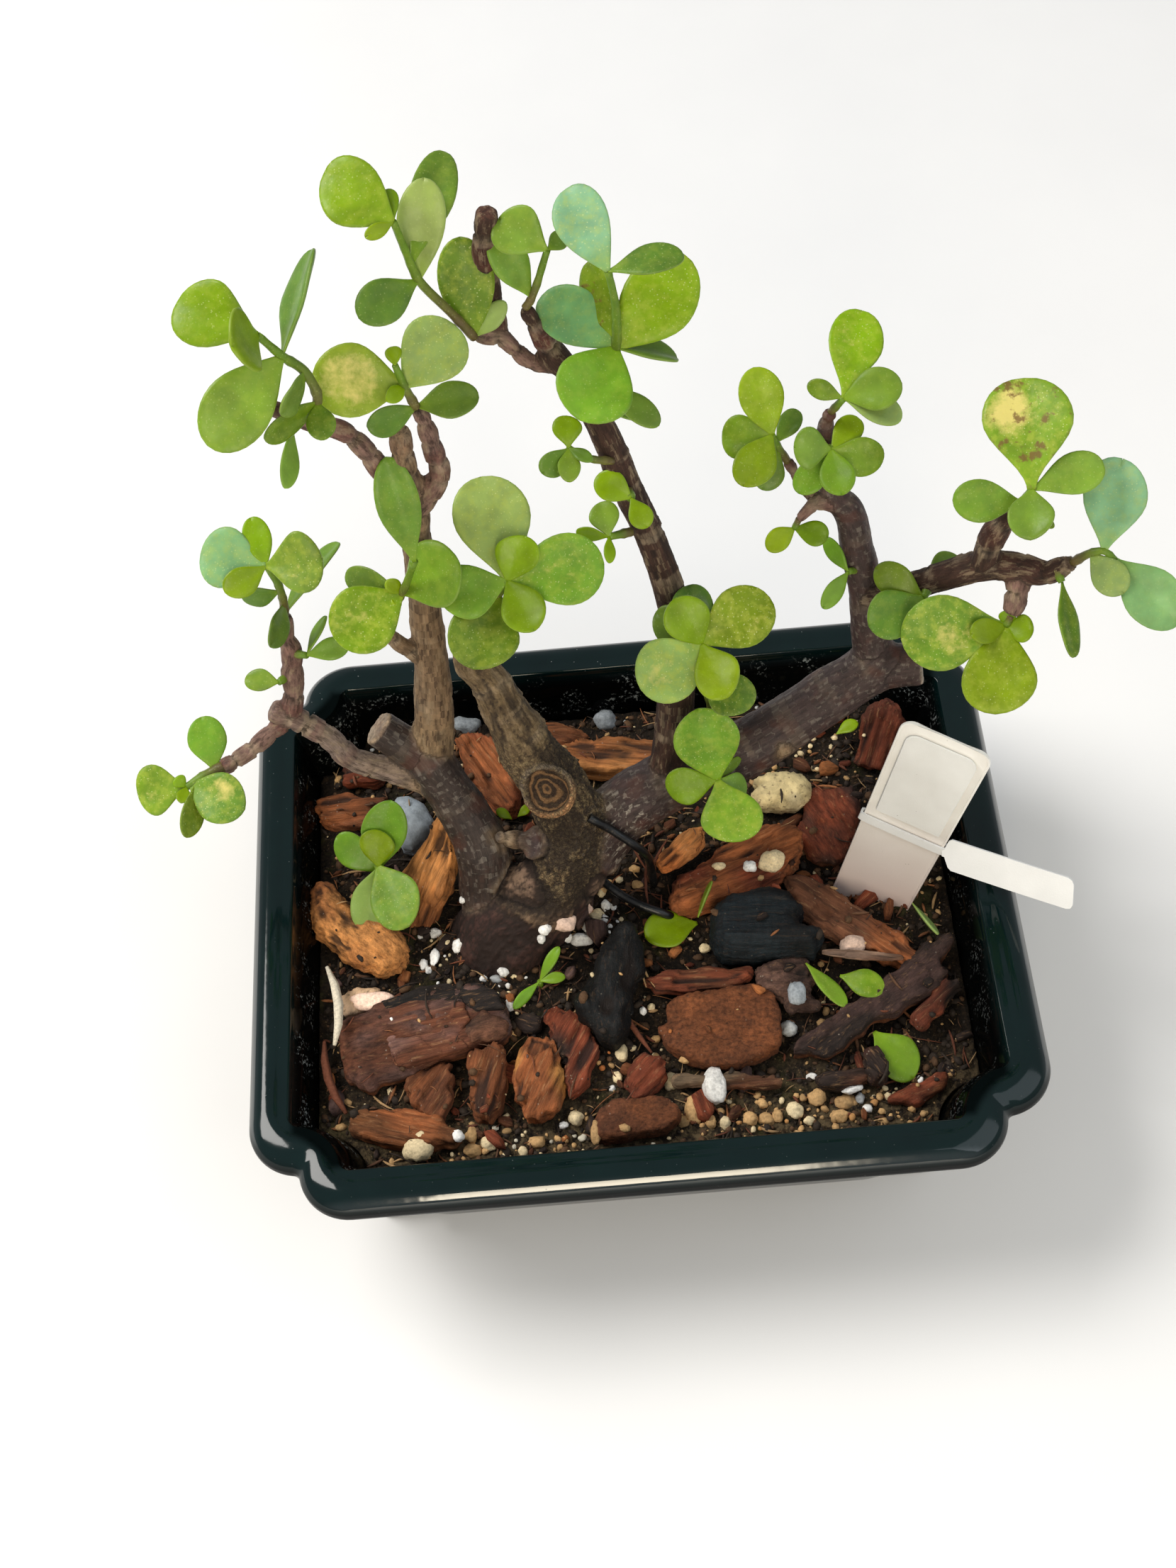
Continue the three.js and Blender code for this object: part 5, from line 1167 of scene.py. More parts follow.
# Each chip: where it lies, its yaw, pitch and roll, its height, two colours, its make and
# its outline along and across. Further rows of a chip lie against it.
RED, PURPLE, ORANGE, AMBER = (108, 50, 28), (80, 60, 55), (146, 88, 46), (184, 124, 68)
DARK, BROWN, RUST, CLAY = (38, 27, 22), (88, 50, 29), (104, 58, 30), (134, 76, 40)
CHIPS = {
    "bark_knobbly": [((-67.5, 3.5, 46), (-48, 0, 0), 11, ORANGE, AMBER, "knob",
        [(-15, -6), (-9.5, -10), (-0.5, -12), (6, -11), (12, -8), (15, -3.5), (14.5, 1), (11.5, 3),
         (4, 2.5), (-2, 0), (-9, 0), (-13.5, 1), (-16.5, 1), (-17.5, -1.5)])],
    "bark_spike": [((-50, 14, 53), (52, 42, 0), 7, RUST, AMBER, "fibre",
        [(13.5, 2.5), (6.5, 4), (0, 5), (-8, 6.5), (-14.5, 6.5), (-18, 0.5), (-16, -4.5),
         (-11, -6.5), (-3.5, -7), (5.5, -5.5), (12, -3), (16.5, -0.5)])],
    "bark_back_left": [((-69.5, 41, 44.5), (0, 0, 0), 5, CLAY, BROWN, "fibre",
        [(-9, -5.5), (-4.5, -7.5), (2, -8), (8, -4.5), (8, 0.5), (-2, 2.5), (-8, 3.5), (-11, 2),
         (-12, -1)])],
    "bark_red": [((-33, 48, 46), (-62, 0, 0), 8, CLAY, RED, "fibre",
        [(-7.5, -6.5), (-1, -7.5), (8, -7), (14, -6.5), (15.5, -3), (14, -1), (7, 3), (0.5, 4),
         (-5.5, 4), (-10.5, 1), (-12.5, -2), (-12, -4.5)])],
    "bark_back": [((-19.5, 56, 46), (-14, 3, 0), 6, ORANGE, RUST, "fibre",
        [(-11, -2), (0.5, -3.5), (7.5, -1.5), (12, 1), (8, 3.5), (-0.5, 5.5), (-6.5, 5.5), (-12, 4)])],
    "bark_back_front": [((-2, 44.5, 47), (-14, 2, 0), 7, AMBER, ORANGE, "fibre",
        [(-11.5, -2), (-2.5, -3), (7, -1.5), (15.5, -1), (18.5, 2), (16.5, 6), (12.5, 8), (4.5, 7),
         (-10, 6), (-17, 1.5)])],
    "bark_orange": [((13, 13, 48), (41, 7, 0), 4.5, AMBER, (176, 88, 40), "fibre",
        [(-5.5, 1), (-1.5, -1), (4, -2), (9.5, -0.5), (11, 2), (6.5, 4.5), (-0.5, 5), (-3.5, 4)])],
    "bark_large": [((29, 5, 46), (20, 3, 0), 9, CLAY, RED, "fibre",
        [(-15, -1.5), (-7, -3), (1.5, -4), (8.5, -3), (14.5, 0), (18.5, 3.5), (18.5, 7.5),
         (14.5, 10.5), (8, 12), (-0.5, 12), (-6, 9.5), (-12, 8), (-16.5, 7), (-18.5, 4), (-20, 0)])],
    "bark_flat": [((53, 21.5, 44.5), (-67, 0, 10), 5, RED, DARK, "plate",
        [(-9, -2.5), (-6, -5.5), (-2, -8.5), (4.5, -9), (9, -7), (11, -4.5), (8, 1), (3.5, 6),
         (0, 9.5), (-5.5, 10), (-8, 6), (-12, 1)])],
    "bark_upright": [((68.5, 45, 50), (61, 52, 0), 5, RED, DARK, "fibre",
        [(-9, 4), (-10, 0), (-8, -4), (4.5, -5), (8.5, -3), (10.5, 0.5), (3.5, 5)])],
    "bark_bar": [((52.5, -11, 46), (-43, 0, 0), 6, CLAY, (92, 56, 36), "fibre",
        [(-16.5, 0), (-11, -3), (-6, -3), (2.5, -2), (11, -1.5), (18, -0.5), (20, 1), (19.5, 4),
         (17.5, 5.5), (11.5, 7), (4, 6.5), (-4.5, 6.5), (-16.5, 5.5), (-20.5, 3)])],
    "bark_round": [((20, -35.5, 46), (-2, 0, 0), 6, RUST, BROWN, "disc",
        [(-14.5, 2), (-16, 1), (-15, -2), (-13, -5.5), (-10, -8), (-5.5, -10), (2, -10.5), (8, -9),
         (12.5, -6), (14, -1.5), (14, 3.5), (12.5, 8), (9.5, 10.5), (1.5, 11), (-9.5, 10), (-14, 7)]),
        ((15, -22.5, 46), (-4, 0, 0), 5, BROWN, RED, "fibre",
        [(-10.5, -2), (-5.5, -2.5), (8.5, -1), (12.5, 1), (13, 3.5), (2, 4), (-8, 3.5), (-13.5, 1)])],
    "bark_diagonal": [((58, -30, 46), (34, 2, 0), 5.5, (62, 43, 38), DARK, "plate",
        [(-22.5, -0.5), (-21, -4.5), (-15, -5.5), (-11, -5), (-5.5, -5), (-0.5, -7), (6.5, -8),
         (13, -8), (18, -6.5), (17.5, -4), (23, -2.5), (26, 0), (25.5, 2), (19, 1.5), (20, 3.5),
         (14.5, 2.5), (8.5, 1.5), (1, 2), (-7.5, 2.5), (-17, 2.5), (-24, 3), (-26, 1)])],
    "bark_slab": [((-53.5, -29, 46), (10, 0, 0), 6.5, PURPLE, (88, 48, 28), "plate",
        [(-21, 1.5), (-20.5, -8), (-18.5, -11), (-15.5, -12.5), (-11.5, -11.5), (-6, -11),
         (1, -9.5), (10.5, -8.5), (18, -8), (21, -5), (21, -1), (19.5, 4.5), (15.5, 7.5), (4, 10.5),
         (-1, 11), (-9, 9.5), (-14.5, 8.5), (-19.5, 6.5)]),
        ((-53.5, -29, 49), (10, 0, 0), 2.4, (96, 68, 60), (96, 54, 34), "fibre",
        [(-8, 6.5), (-2, 7.5), (5.5, 5.5), (11, 3), (11.5, -2), (8, -4.5), (9.5, -9), (0, -9.5),
         (-5.5, -10), (-8.5, -8.5), (-9.5, -0.5)]),
        ((-53.5, -29, 49), (10, 0, 0), 2.6, (24, 20, 18), (34, 26, 22), "fibre",
        [(-9, 9), (1.5, 10.5), (9, 9.5), (15.5, 8), (19.5, 4), (20.5, -1), (13.5, 0), (10.5, 4),
         (1.5, 6), (-7.5, 6.5)]),
        ((-53.5, -29, 49.2), (10, 0, 0), 3.4, (92, 58, 40), (52, 36, 28), "knob",
        [(11.5, -1), (14.5, 0), (17.5, -1.5), (20, -4.5), (19, -7.5), (13.5, -8), (10.5, -7.5),
         (9, -3)]),
        ((-51, -42.5, 45), (57, 0, 0), 6, RUST, BROWN, "fibre",
        [(-6, 4.5), (-10, -2), (-9.5, -6), (-6, -6.5), (1, -4.5), (5.5, -0.5), (1, 5), (-3, 6)]),
        ((-38.5, -42, 46), (71, 0, 0), 7, BROWN, RUST, "fibre",
        [(-5.5, 3), (-12, 0), (-12, -4.5), (-8.5, -6), (3.5, -4.5), (7, -1), (3, 5)])],
    "bark_front_left": [((-58, -54.5, 45), (-19, 0, 0), 5.5, (96, 58, 30), CLAY, "fibre",
        [(-13.5, -3.5), (-9.5, -4.5), (-2, -5), (4.5, -3.5), (12, -1.5), (13, 1), (5, 3.5),
         (-3.5, 4), (-11.5, 1.5), (-14.5, -2)])],
    "bark_amber": [((-25.5, -44.5, 46), (65, 2, 0), 6.5, (214, 156, 80), CLAY, "fibre",
        [(-2.5, 5.5), (-7.5, 4), (-8, 1), (-11.5, -1), (-9.5, -4.5), (-5.5, -6.5), (0, -6),
         (6, -3), (10.5, 2), (9.5, 6), (5.5, 7)])],
    "bark_block": [((-3.5, -57, 45.5), (2, 0, 0), 5.5, BROWN, RUST, "disc",
        [(-9.5, -4.5), (-3, -5), (6.5, -4.5), (10, -2.5), (10.5, 0.5), (9.5, 3.5), (0, 5),
         (-5.5, 5), (-8.5, 2.5), (-10, -2)]),
        ((1, -46.5, 45), (45, 0, 0), 4.5, RED, DARK, "fibre",
        [(-7, -0.5), (-4, -2.5), (3, -2.5), (5.5, 1), (4, 5.5), (-5, 4.5)])],
    "charcoal_ribbed": [((33, -9, 48), (-6, 0, 0), 14, (22, 30, 34), (10, 13, 15), "rib",
        [(-14, -1.5), (-13, -5.5), (-11, -9), (-4.5, -9.5), (3.5, -8.5), (12, -8.5), (13.5, -5.5),
         (13.5, -2.5), (10, -1), (8, 1), (9, 5), (6.5, 8.5), (1, 9.5), (-8, 8.5), (-13, 6), (-14, 2)])],
    "charcoal_pointed": [((-7, -22, 48), (-98, -5, 0), 12, (17, 18, 18), (8, 9, 9), "char",
        [(-10.5, -1.5), (-3.5, -4), (1, -5), (6, -8), (9.5, -7.5), (12.5, -3), (15, -0.5),
         (15.5, 2), (12, 4), (5.5, 6), (-4.5, 7.5), (-12.5, 6), (-16, 4), (-15.5, 2)])],
    "stone_grey_blue": [((-55.5, 31, 46.5), (-88, 0, 0), 10, (156, 166, 174), (130, 138, 146), "stone",
        [(-6, -5), (1.5, -4.5), (7, -3), (8.5, 0), (6.5, 2.5), (3.5, 5), (0, 6), (-5.5, 3.5),
         (-8.5, 0), (-8.5, -3.5)])],
    "stone_cream": [((41.5, 31, 46), (-4, 0, 0), 8.5, (214, 194, 142), (186, 178, 160), "pit",
        [(-5, 2.5), (-8, 0), (-5.5, -4), (-3, -4.5), (3.5, -4), (7, -1.5), (8, 2.5), (6, 5),
         (1.5, 6), (-3.5, 6), (-7.5, 4.5)])],
    "stone_cream_small": [((-70, -18.5, 46), (6, 0, 0), 6, (212, 176, 138), (190, 160, 130), "pit",
        [(-5, -2.5), (-3, -4), (2.5, -3), (6, -1), (5.5, 1.5), (0, 2.5), (-4.5, 1)])],
    "dry_stick": [((55.5, -20, 49.5), (-11, 0, 0), 2, (124, 100, 84), BROWN, "fibre",
        [(-10, -0.8), (-3, -1), (6, -0.8), (10, -0.4), (10, 0.6), (4, 1), (-4, 1), (-10, 0.7)])],
    "": [((33, -23, 46), (0, 0, 0), 6, (94, 68, 57), (62, 43, 35), "knob",
        [(-3, -3.5), (2, -6), (3, -9.5), (8.5, -10), (10.5, -8), (8, -4.5), (10, 0.5), (9, 5),
         (2, 5.5), (-4, 3.5)]),
        ((43, -54, 45), (0, 0, 0), 4, BROWN, DARK, "fibre",
        [(-1.5, 1), (8, 0), (10, 2), (10, 6), (2.5, 5), (-3, 4)]),
        ((54, -48, 45), (-60, 0, 0), 4.5, RED, DARK, "fibre", [(3.5, -3), (6, 1), (-2, 4), (-3.5, 0.5)]),
        ((74, -31, 46), (40, 0, 0), 5, RED, DARK, "fibre",
        [(-11, -2.5), (-5, -3.5), (5, -2), (4, 2.5), (-4.5, 3), (-10.5, 0.5)]),
        ((69, -53, 44), (20, 0, 0), 4, RED, RUST, "plate",
        [(-6.5, -4), (0.5, -3), (3, 0.5), (-5.5, 1), (-11.5, 1.5), (-13, 0)]),
        ((-65, 54, 45), (0, 0, 0), 5, RED, DARK, "fibre",
        [(-8, -7), (0.5, -8), (4.5, -2.5), (-4.5, 1), (-9, -1)]),
        ((-18, -38, 46), (60, 0, 0), 5.5, RED, DARK, "fibre",
        [(1.5, 5.5), (-4.5, -1), (-12.5, -6), (-6.5, -7.5), (3.5, -6.5), (8, -1), (9.5, 8.5), (6, 10)]),
        ((21, -54, 45), (0, 0, 0), 3.5, (104, 86, 66), BROWN, "fibre",
        [(-14, 5), (-4, 3.5), (6.5, 2.5), (12, 3), (9.5, 5), (-2, 6.5), (-14.5, 7)])],
}
# How deep each make is worn, in millimetres: coarse, ribs and fine; then how wide its round
# edge is, and its fibre and sheen.
MAKES = {"fibre": (0.6, 0.75, 0.22, 2.2, 1, 0), "plate": (0.4, 0.3, 0.22, 1.8, 0.55, 0.1),
    "disc": (0.35, 0.15, 0.2, 2.2, 0.25, 0), "knob": (1.0, 0.5, 0.3, 5, 0.5, 0),
    "rib": (0.4, 0.8, 0.15, 4.5, 0.15, 0.75), "char": (0.9, 0.9, 0.25, 4, 0.2, 0.75),
    "stone": (0.5, 0.0, 0.12, 5, 0, 0), "pit": (0.7, 0.0, 0.3, 4, 1, 0)}
# How far the grain's pattern is drawn out along each make, 1 where it isn't named.
STRETCH = {"fibre": 0.1, "plate": 0.3, "disc": 0.8, "knob": 0.45, "rib": 0.08, "char": 0.25}


def turned(yaw, pitch, roll):
    """The turn of a chip's own axes, as rows along, across and up."""
    turn = (Matrix.Rotation(math.radians(yaw), 3, "Z") @ Matrix.Rotation(math.radians(-pitch), 3, "Y")
        @ Matrix.Rotation(math.radians(roll), 3, "X"))
    return np.array(turn).T


def ragged(outline, seed, swing):
    """The outline in steps of about a millimetre, torn in and out by `swing`."""
    corners = np.array(outline, float)
    steps = []
    for corner, following in zip(corners, np.roll(corners, -1, axis=0)):
        count = max(1, round(np.linalg.norm(following - corner) / 0.9))
        steps.append(corner + (following - corner) * np.arange(count)[:, None] / count)
    line = np.vstack(steps)
    flat = np.column_stack([line, np.full(len(line), seed * 9.1)])
    out = unit(np.roll(line, -1, axis=0) - np.roll(line, 1, axis=0)) @ np.array([[0, -1], [1, 0]])
    return line + out * (swing * fractal(flat, 3.2, 3, seed))[:, None]


def edge_distance(points, outline):
    """How far each point is from the outline, seen from above."""
    start, end = outline, np.roll(outline, -1, axis=0)
    line = end - start
    square = np.maximum((line**2).sum(axis=1), 1e-6)
    nearest = np.full(len(points), 1e9)
    for a, along, length in zip(start, line, square):
        share = np.clip(((points - a) @ along) / length, 0, 1)
        gap = np.linalg.norm(points - a - share[:, None] * along, axis=1)
        nearest = np.minimum(nearest, gap)
    return nearest


def ridges(make, local, grain, seed):
    """The relief of a make: a charred log's ribs, cracked char, or torn layers."""
    if make == "rib":
        waved = local[:, 1] + 0.3 * local[:, 2] + 0.5 * lattice_noise(local / 7, seed)
        ridge = 0.5 * abs(np.sin(waved * np.pi / 6.3)) ** 0.7 - 0.3
        ridge = ridge - 0.5 * np.maximum(0, 1 - 5 * abs(lattice_noise(grain / 1.5, seed + 3)))
        return ridge + 0.15 * np.sin(local[:, 0] * np.pi / 1.1 + 3 * lattice_noise(local / 2, seed))
    if make == "char":
        ridge = 1.1 - 2.6 * abs(lattice_noise(local * [0.6, 1, 1] / 5.5 + seed, seed + 3))
        return np.floor(ridge * 2.2) / 2.2 * 0.5 + ridge * 0.5
    layered = grain * [1, 1, 1.6]
    ridge = 0.7 - 2.4 * abs(lattice_noise(layered / 1.9, seed + 3))
    return np.clip(ridge, -1, 0.5) + 0.45 * fractal(layered, 1.1, 2, seed + 6)


def chip_body(row, seed):
    """A chip, stone or coal: its outline raised, rounded, worn by its make and laid down."""
    at, angles, height, main, second, make, outline = row
    coarse, ribs, fine, rounding, fibre, sheen = MAKES[make]
    torn = ragged(outline, seed, 0.25 if height < 3 or make in ("stone", "pit") else 0.75)
    levels = (-height / 2, 0, height / 2)
    rings = [np.column_stack([torn, np.full(len(torn), level)]) for level in levels]
    count = len(torn)
    points, faces = loft(rings, capped=False)
    faces = [tuple(range(count))[::-1], tuple(range(2 * count, 3 * count)), *faces]
    local, faces = rounded(points, faces, THIN_CHIP_VOXEL if height < 3 else CHIP_VOXEL)
    edges = edges_of(faces)
    inside = edge_distance(local[:, :2], torn)
    reach = 1 - (1 - np.minimum(inside / rounding, 1)) ** 2
    lowest = 0.2 if rounding > 3 else 0.62
    local[:, 2] *= lowest + (1 - lowest) * np.sqrt(reach)
    flat = local * [1, 1, 0] + seed * 31.0
    if make in ("plate", "fibre", "disc"):
        course = fractal(flat * [0.5, 1, 1], 7, 2, seed + 70) * 1.1 + 0.9
        terrace = np.floor(course * 1.6) / 1.6 - 0.9
        sharp = 0.6 if make == "disc" else 1.0
        local[:, 2] += smooth_step(local[:, 2], 0.1 * height, 0.3 * height) * terrace * sharp
    local = softened(local, edges, 2)
    grain = local * [STRETCH.get(make, 1), 1, 1] + seed * 31.0
    big = fractal(local + seed * 50, 7, 2, seed)
    ridge = ridges(make, local, grain, seed)
    small = fractal(grain, 0.8, 2, seed + 9)
    share = smooth_step(height, 1, 5)
    lift = (big * coarse + ridge * ribs + small * fine) * (0.2 + 0.8 * share)
    normals = normals_of(local, faces)
    local = local + normals * np.clip(lift, -1.5, 1.0)[:, None]
    points = local @ turned(*angles) + at
    points[:, 2] = np.maximum(points[:, 2], SOIL_TOP - 4)

    blend = smooth_step(fractal(flat * [0.6, 1, 1], 9, 2, seed + 40), -0.45, 0.45)[:, None]
    under = smooth_step(-local[:, 2], -0.15 * height, 0.2 * height)[:, None]
    tint = linear(*main) * blend + linear(*second) * (1 - blend)
    if make in ("plate", "disc"):
        tint = tint * (1 - under) + under * linear(*RUST) * 0.7
    tone = 1 + 0.25 * fractal(grain, 3.5, 3, seed + 44)
    tint = tint * tone[:, None]
    # Painted shade: the look darkens the chip where depth is low, in the hollows of its relief.
    depth = np.clip(0.55 + lift * 0.5, 0, 1)
    return Body(points, faces, tint=stacked(*tint.T, 1), grain=stacked(*grain.T, 1),
        trait=stacked(depth, fibre, sheen, 0))


def make_chip(name, rows, materials, seed):
    """The chips of one table entry; those without a name are the scene's own."""
    body = merged([chip_body(row, seed * 7 + k) for k, row in enumerate(rows)])
    kinds = {"rib": "charcoal", "char": "charcoal", "stone": "stone_grey", "pit": "stone_pale"}
    slot = kinds.get(rows[0][5], "bark_chip")
    add_piece((name or "bark_more") + "_worn", body, materials[slot], name or None)
    return body


def flake(centre, size, tint, draw):
    """A small broken plate of bark with six or seven corners."""
    corners = draw.choice((6, 7, 8))
    angles = np.sort([2 * np.pi * (k + draw.uniform(-0.3, 0.3)) / corners for k in range(corners)])
    reach = np.array([draw.uniform(0.65, 1.1) for _ in range(corners)])
    narrow = draw.uniform(0.35, 0.75)
    outline = np.column_stack([np.cos(angles) * reach, np.sin(angles) * reach * narrow])
    thick = size * draw.uniform(0.12, 0.24)
    levels = ((0.9, -1), (1, -0.2), (0.93, 0.8), (0.6, 1.05))
    rings = [np.column_stack([outline * share * size / 2 + [draw.uniform(-0.1, 0.1), 0],
        np.full(corners, level * thick) + np.array([draw.uniform(-0.15, 0.15) for _ in range(corners)])])
        for share, level in levels]
    points, faces = loft(rings)
    turn = turned(draw.uniform(0, 360), draw.gauss(0, 14), draw.gauss(0, 14))
    tone = np.array(tint) * draw.uniform(0.7, 1.25)
    return Body(points @ turn + centre, faces, tint=stacked(*tone, 1),
        grain=stacked(*(points * [0.1, 1, 1] + draw.uniform(0, 900)).T, 1), trait=stacked(0.6, 1, 0, 0))


def pebble(centre, size, tint, draw, fine, yaw=None):
    """A small uneven lump; `fine` says how many times its faces are split."""
    sphere = bmesh.new()
    bmesh.ops.create_icosphere(sphere, subdivisions=fine, radius=1)
    points = np.array([vertex.co for vertex in sphere.verts])
    faces = [tuple(vertex.index for vertex in face.verts) for face in sphere.faces]
    sphere.free()
    knob = 1 + 0.24 * lattice_noise(points * 1.6 + draw.uniform(0, 500), 2)
    knob = knob + 0.12 * lattice_noise(points * 3.7 + draw.uniform(0, 500), 4)
    yaw = draw.uniform(0, 360) if yaw is None else yaw
    turn = turned(yaw, draw.uniform(-20, 20), draw.uniform(-20, 20))
    points = (points * knob[:, None] * np.array(size) / 2) @ turn + centre
    tone = np.array(tint) * draw.uniform(0.75, 1.2)
    return Body(points, faces, tint=stacked(*tone, 1))


def shred(centre, length, thick, yaw, pitch, tint, draw):
    """A thin strip of bark or root fibre."""
    along = turned(yaw, pitch, 0)[0]
    side = np.cross(along, [0, 0, 1.0])
    t = np.linspace(-0.5, 0.5, 5)
    bow = draw.uniform(-0.12, 0.12) * length * (0.25 - t**2) * 4
    places = np.array(centre) + t[:, None] * length * along + bow[:, None] * side
    radii = thick / 2 * np.array([0.4, 0.9, 1, 0.85, 0.35])
    tone = np.array(tint) * draw.uniform(0.75, 1.2)
    return Body(*tube(places, radii, 5), tint=stacked(*tone, 1))


WHITE, CREAM, TAN, CRUMB = (246, 243, 236), (230, 208, 164), (196, 156, 104), (44, 32, 21)
FIBRE, REDDISH, GREY, PINK = (168, 134, 92), (104, 56, 34), (190, 192, 190), (240, 206, 184)
# Heaps of fine grains: middle, spread, how many, least and most size, colours.
HEAPS = [
    ((-13, -4), (7, 4), 46, (0.8, 1.7), (WHITE, CREAM)),
    ((-49, -7), (4, 4.5), 26, (0.8, 1.7), (WHITE, CREAM)),
    ((-34.9, -15.8), (5, 3), 20, (0.8, 1.8), (WHITE, CREAM)),
    ((31.3, 9.9), (9, 3.5), 14, (1.0, 2.0), (WHITE, TAN)),
    ((48, -16), (9, 4), 22, (0.9, 2.0), (WHITE, CREAM, TAN)),
    ((31, -58), (22, 3.6), 110, (1.0, 2.4), (CREAM, TAN, TAN, (182, 132, 78))),
    ((52, -55), (14, 5), 40, (1.0, 2.6), (CREAM, WHITE, TAN)),
    ((-30, -60), (20, 3.6), 80, (1.0, 2.6), (CREAM, TAN, (198, 190, 170))),
    ((-66, -22), (7, 4), 34, (0.9, 2.2), (WHITE, CREAM)),
    ((-2, -38), (12, 6), 36, (0.8, 2.2), (CREAM, TAN, (200, 120, 60))),
    ((-60, 52), (12, 4), 34, (0.9, 2.4), (CREAM, TAN, GREY)),
    ((40, 46), (20, 8), 60, (0.8, 2.2), (TAN, CREAM, (150, 130, 104))),
    ((0, 63), (60, 3), 60, (0.8, 2.0), (TAN, GREY)),
]
# Single grains and stones seen in the photo: middle, width, depth.
NOTED = {
    WHITE: [(-6.6, 2.9, 2.3, 3.0), (-4.6, 2.4, 1.6, 2.1), (-11.4, -3.1, 3.0, 3.7), (-13.2, -6.5, 5.8, 3.7),
        (-16.9, -5.7, 2.8, 2.5), (-22.4, -2.4, 3.3, 3.7), (-23.5, -5.0, 2.0, 2.9), (-9.6, -6.3, 2.6, 2.9),
        (-7.3, -1.0, 2.4, 2.5), (-33.5, -13.9, 3.0, 2.8), (-38.5, -15.2, 2.0, 1.9),
        (-32.0, -23.2, 2.7, 4.2), (-43.1, 8.2, 1.7, 1.9), (-44.6, -5.1, 3.0, 3.7), (-50.4, -1.0, 3.3, 2.5),
        (-53.4, -9.9, 2.2, 3.5), (-52.2, -11.5, 2.0, 2.2), (-50.7, -7.9, 2.6, 4.8), (-53.7, -1.6, 2.0, 2.1),
        (-46.1, -57.5, 2.9, 3.2), (-8.5, -48.5, 1.6, 1.8), (-20.8, -57.0, 2.3, 1.8), (48.4, -53.9, 5.2, 2.7),
        (15.9, -50.1, 5.4, 9.3), (31.0, 10.7, 3.2, 3.0), (39.5, -49.9, 3.0, 1.9), (0.5, -28.2, 1.8, 2.3)],
    PINK: [(-11.4, 1.9, 3.3, 4.4), (-17.3, -1.6, 5.3, 4.8), (-66.5, -19.5, 12, 5), (54.1, -14.9, 6.0, 4.8)],
    CREAM: [(-7.4, 6.6, 2.0, 2.1), (-8.9, 0.1, 4.0, 3.4), (-47.5, -3.4, 3.3, 4.7), (-55.6, -60.1, 7.4, 6.6),
        (-38.6, -60.3, 4.1, 3.5), (-17.9, -55.6, 3.9, 3.8), (-7.0, -45.6, 2.5, 3.2), (37.6, -61.3, 2.9, 2.2),
        (5.6, -48.1, 3.4, 5.0), (-5.5, -39.2, 3.1, 4.7), (23.1, 11.7, 3.3, 2.1), (36.6, 11.2, 6.5, 6.1),
        (17.6, -60.1, 2.7, 3.0), (34.4, -58.3, 4.0, 4.5), (2.6, -27.3, 1.8, 2.0), (17.3, -12.1, 2.8, 2.5)],
    TAN: [(-43.0, -57.7, 3.1, 4.5), (-42.5, -61.7, 4.5, 3.2), (-27.6, -60.9, 4.9, 3.2),
        (-13.3, -59.8, 2.5, 6.0), (40.1, -55.6, 4.4, 4.5), (46.8, -57.3, 5.8, 3.7), (44.8, -60.8, 4.4, 3.0),
        (9.7, -42.4, 3.0, 2.1), (10.4, -56.0, 4.0, 6.7), (7.7, -58.9, 2.7, 3.3), (14.3, -59.4, 2.9, 3.3),
        (23.6, -59.5, 4.0, 3.7), (27.5, -60.0, 4.0, 3.4), (30.3, -59.4, 2.7, 3.0), (27.0, -55.8, 2.4, 2.7),
        (54.9, -56.5, 1.7, 2.2), (1.9, 8.2, 2.9, 2.4), (1.3, 13.0, 3.3, 2.2)],
    GREY: [(-35.1, -15.7, 3.3, 2.2), (50.2, -56.6, 2.5, 2.8), (35.6, -36.6, 4.2, 4.3)],
    (150, 156, 160): [(-40.5, 65.6, 9, 6.6), (-2.6, 60.5, 6, 6.2), (38.5, -27, 4.6, 6.2)],
}


# Strips seen in the photo: middle, length, thickness, yaw, pitch and colour.
STRIPS = [((5, 9, 48), 17, 0.9, 84, 4, REDDISH), ((8, 14, 49), 12, 0.7, 60, 4, REDDISH),
    ((2.5, 15, 50), 10, 0.7, 110, 4, REDDISH), ((-75.5, -40, 47), 20, 2.4, 105, 4, REDDISH),
    ((-3, -31, 46), 20, 1.6, 118, 4, REDDISH), ((-75.7, -23.5, 53), 22, 2.6, -85, 0, (232, 220, 196)),
    ((-0.5, -15.5, 47.5), 15, 0.8, -72, -3, FIBRE), ((2.5, -17, 47.5), 12, 0.7, -76, -3, FIBRE)]
FLAKES, CRUMBS, SHREDS = 330, 5600, 1500

# The photo's camera, solved on the pot's rim; its focal length in pixels of the photo.
FOCAL_PIXELS, PHOTO_HEIGHT, SENSOR = 3067, 2212, 36
LENS_PLACE = (-0.2, -282.1, 520.5)
AZIMUTH, ELEVATION, ROLL = (math.radians(angle) for angle in (-1.52, 55.81, -6.21))


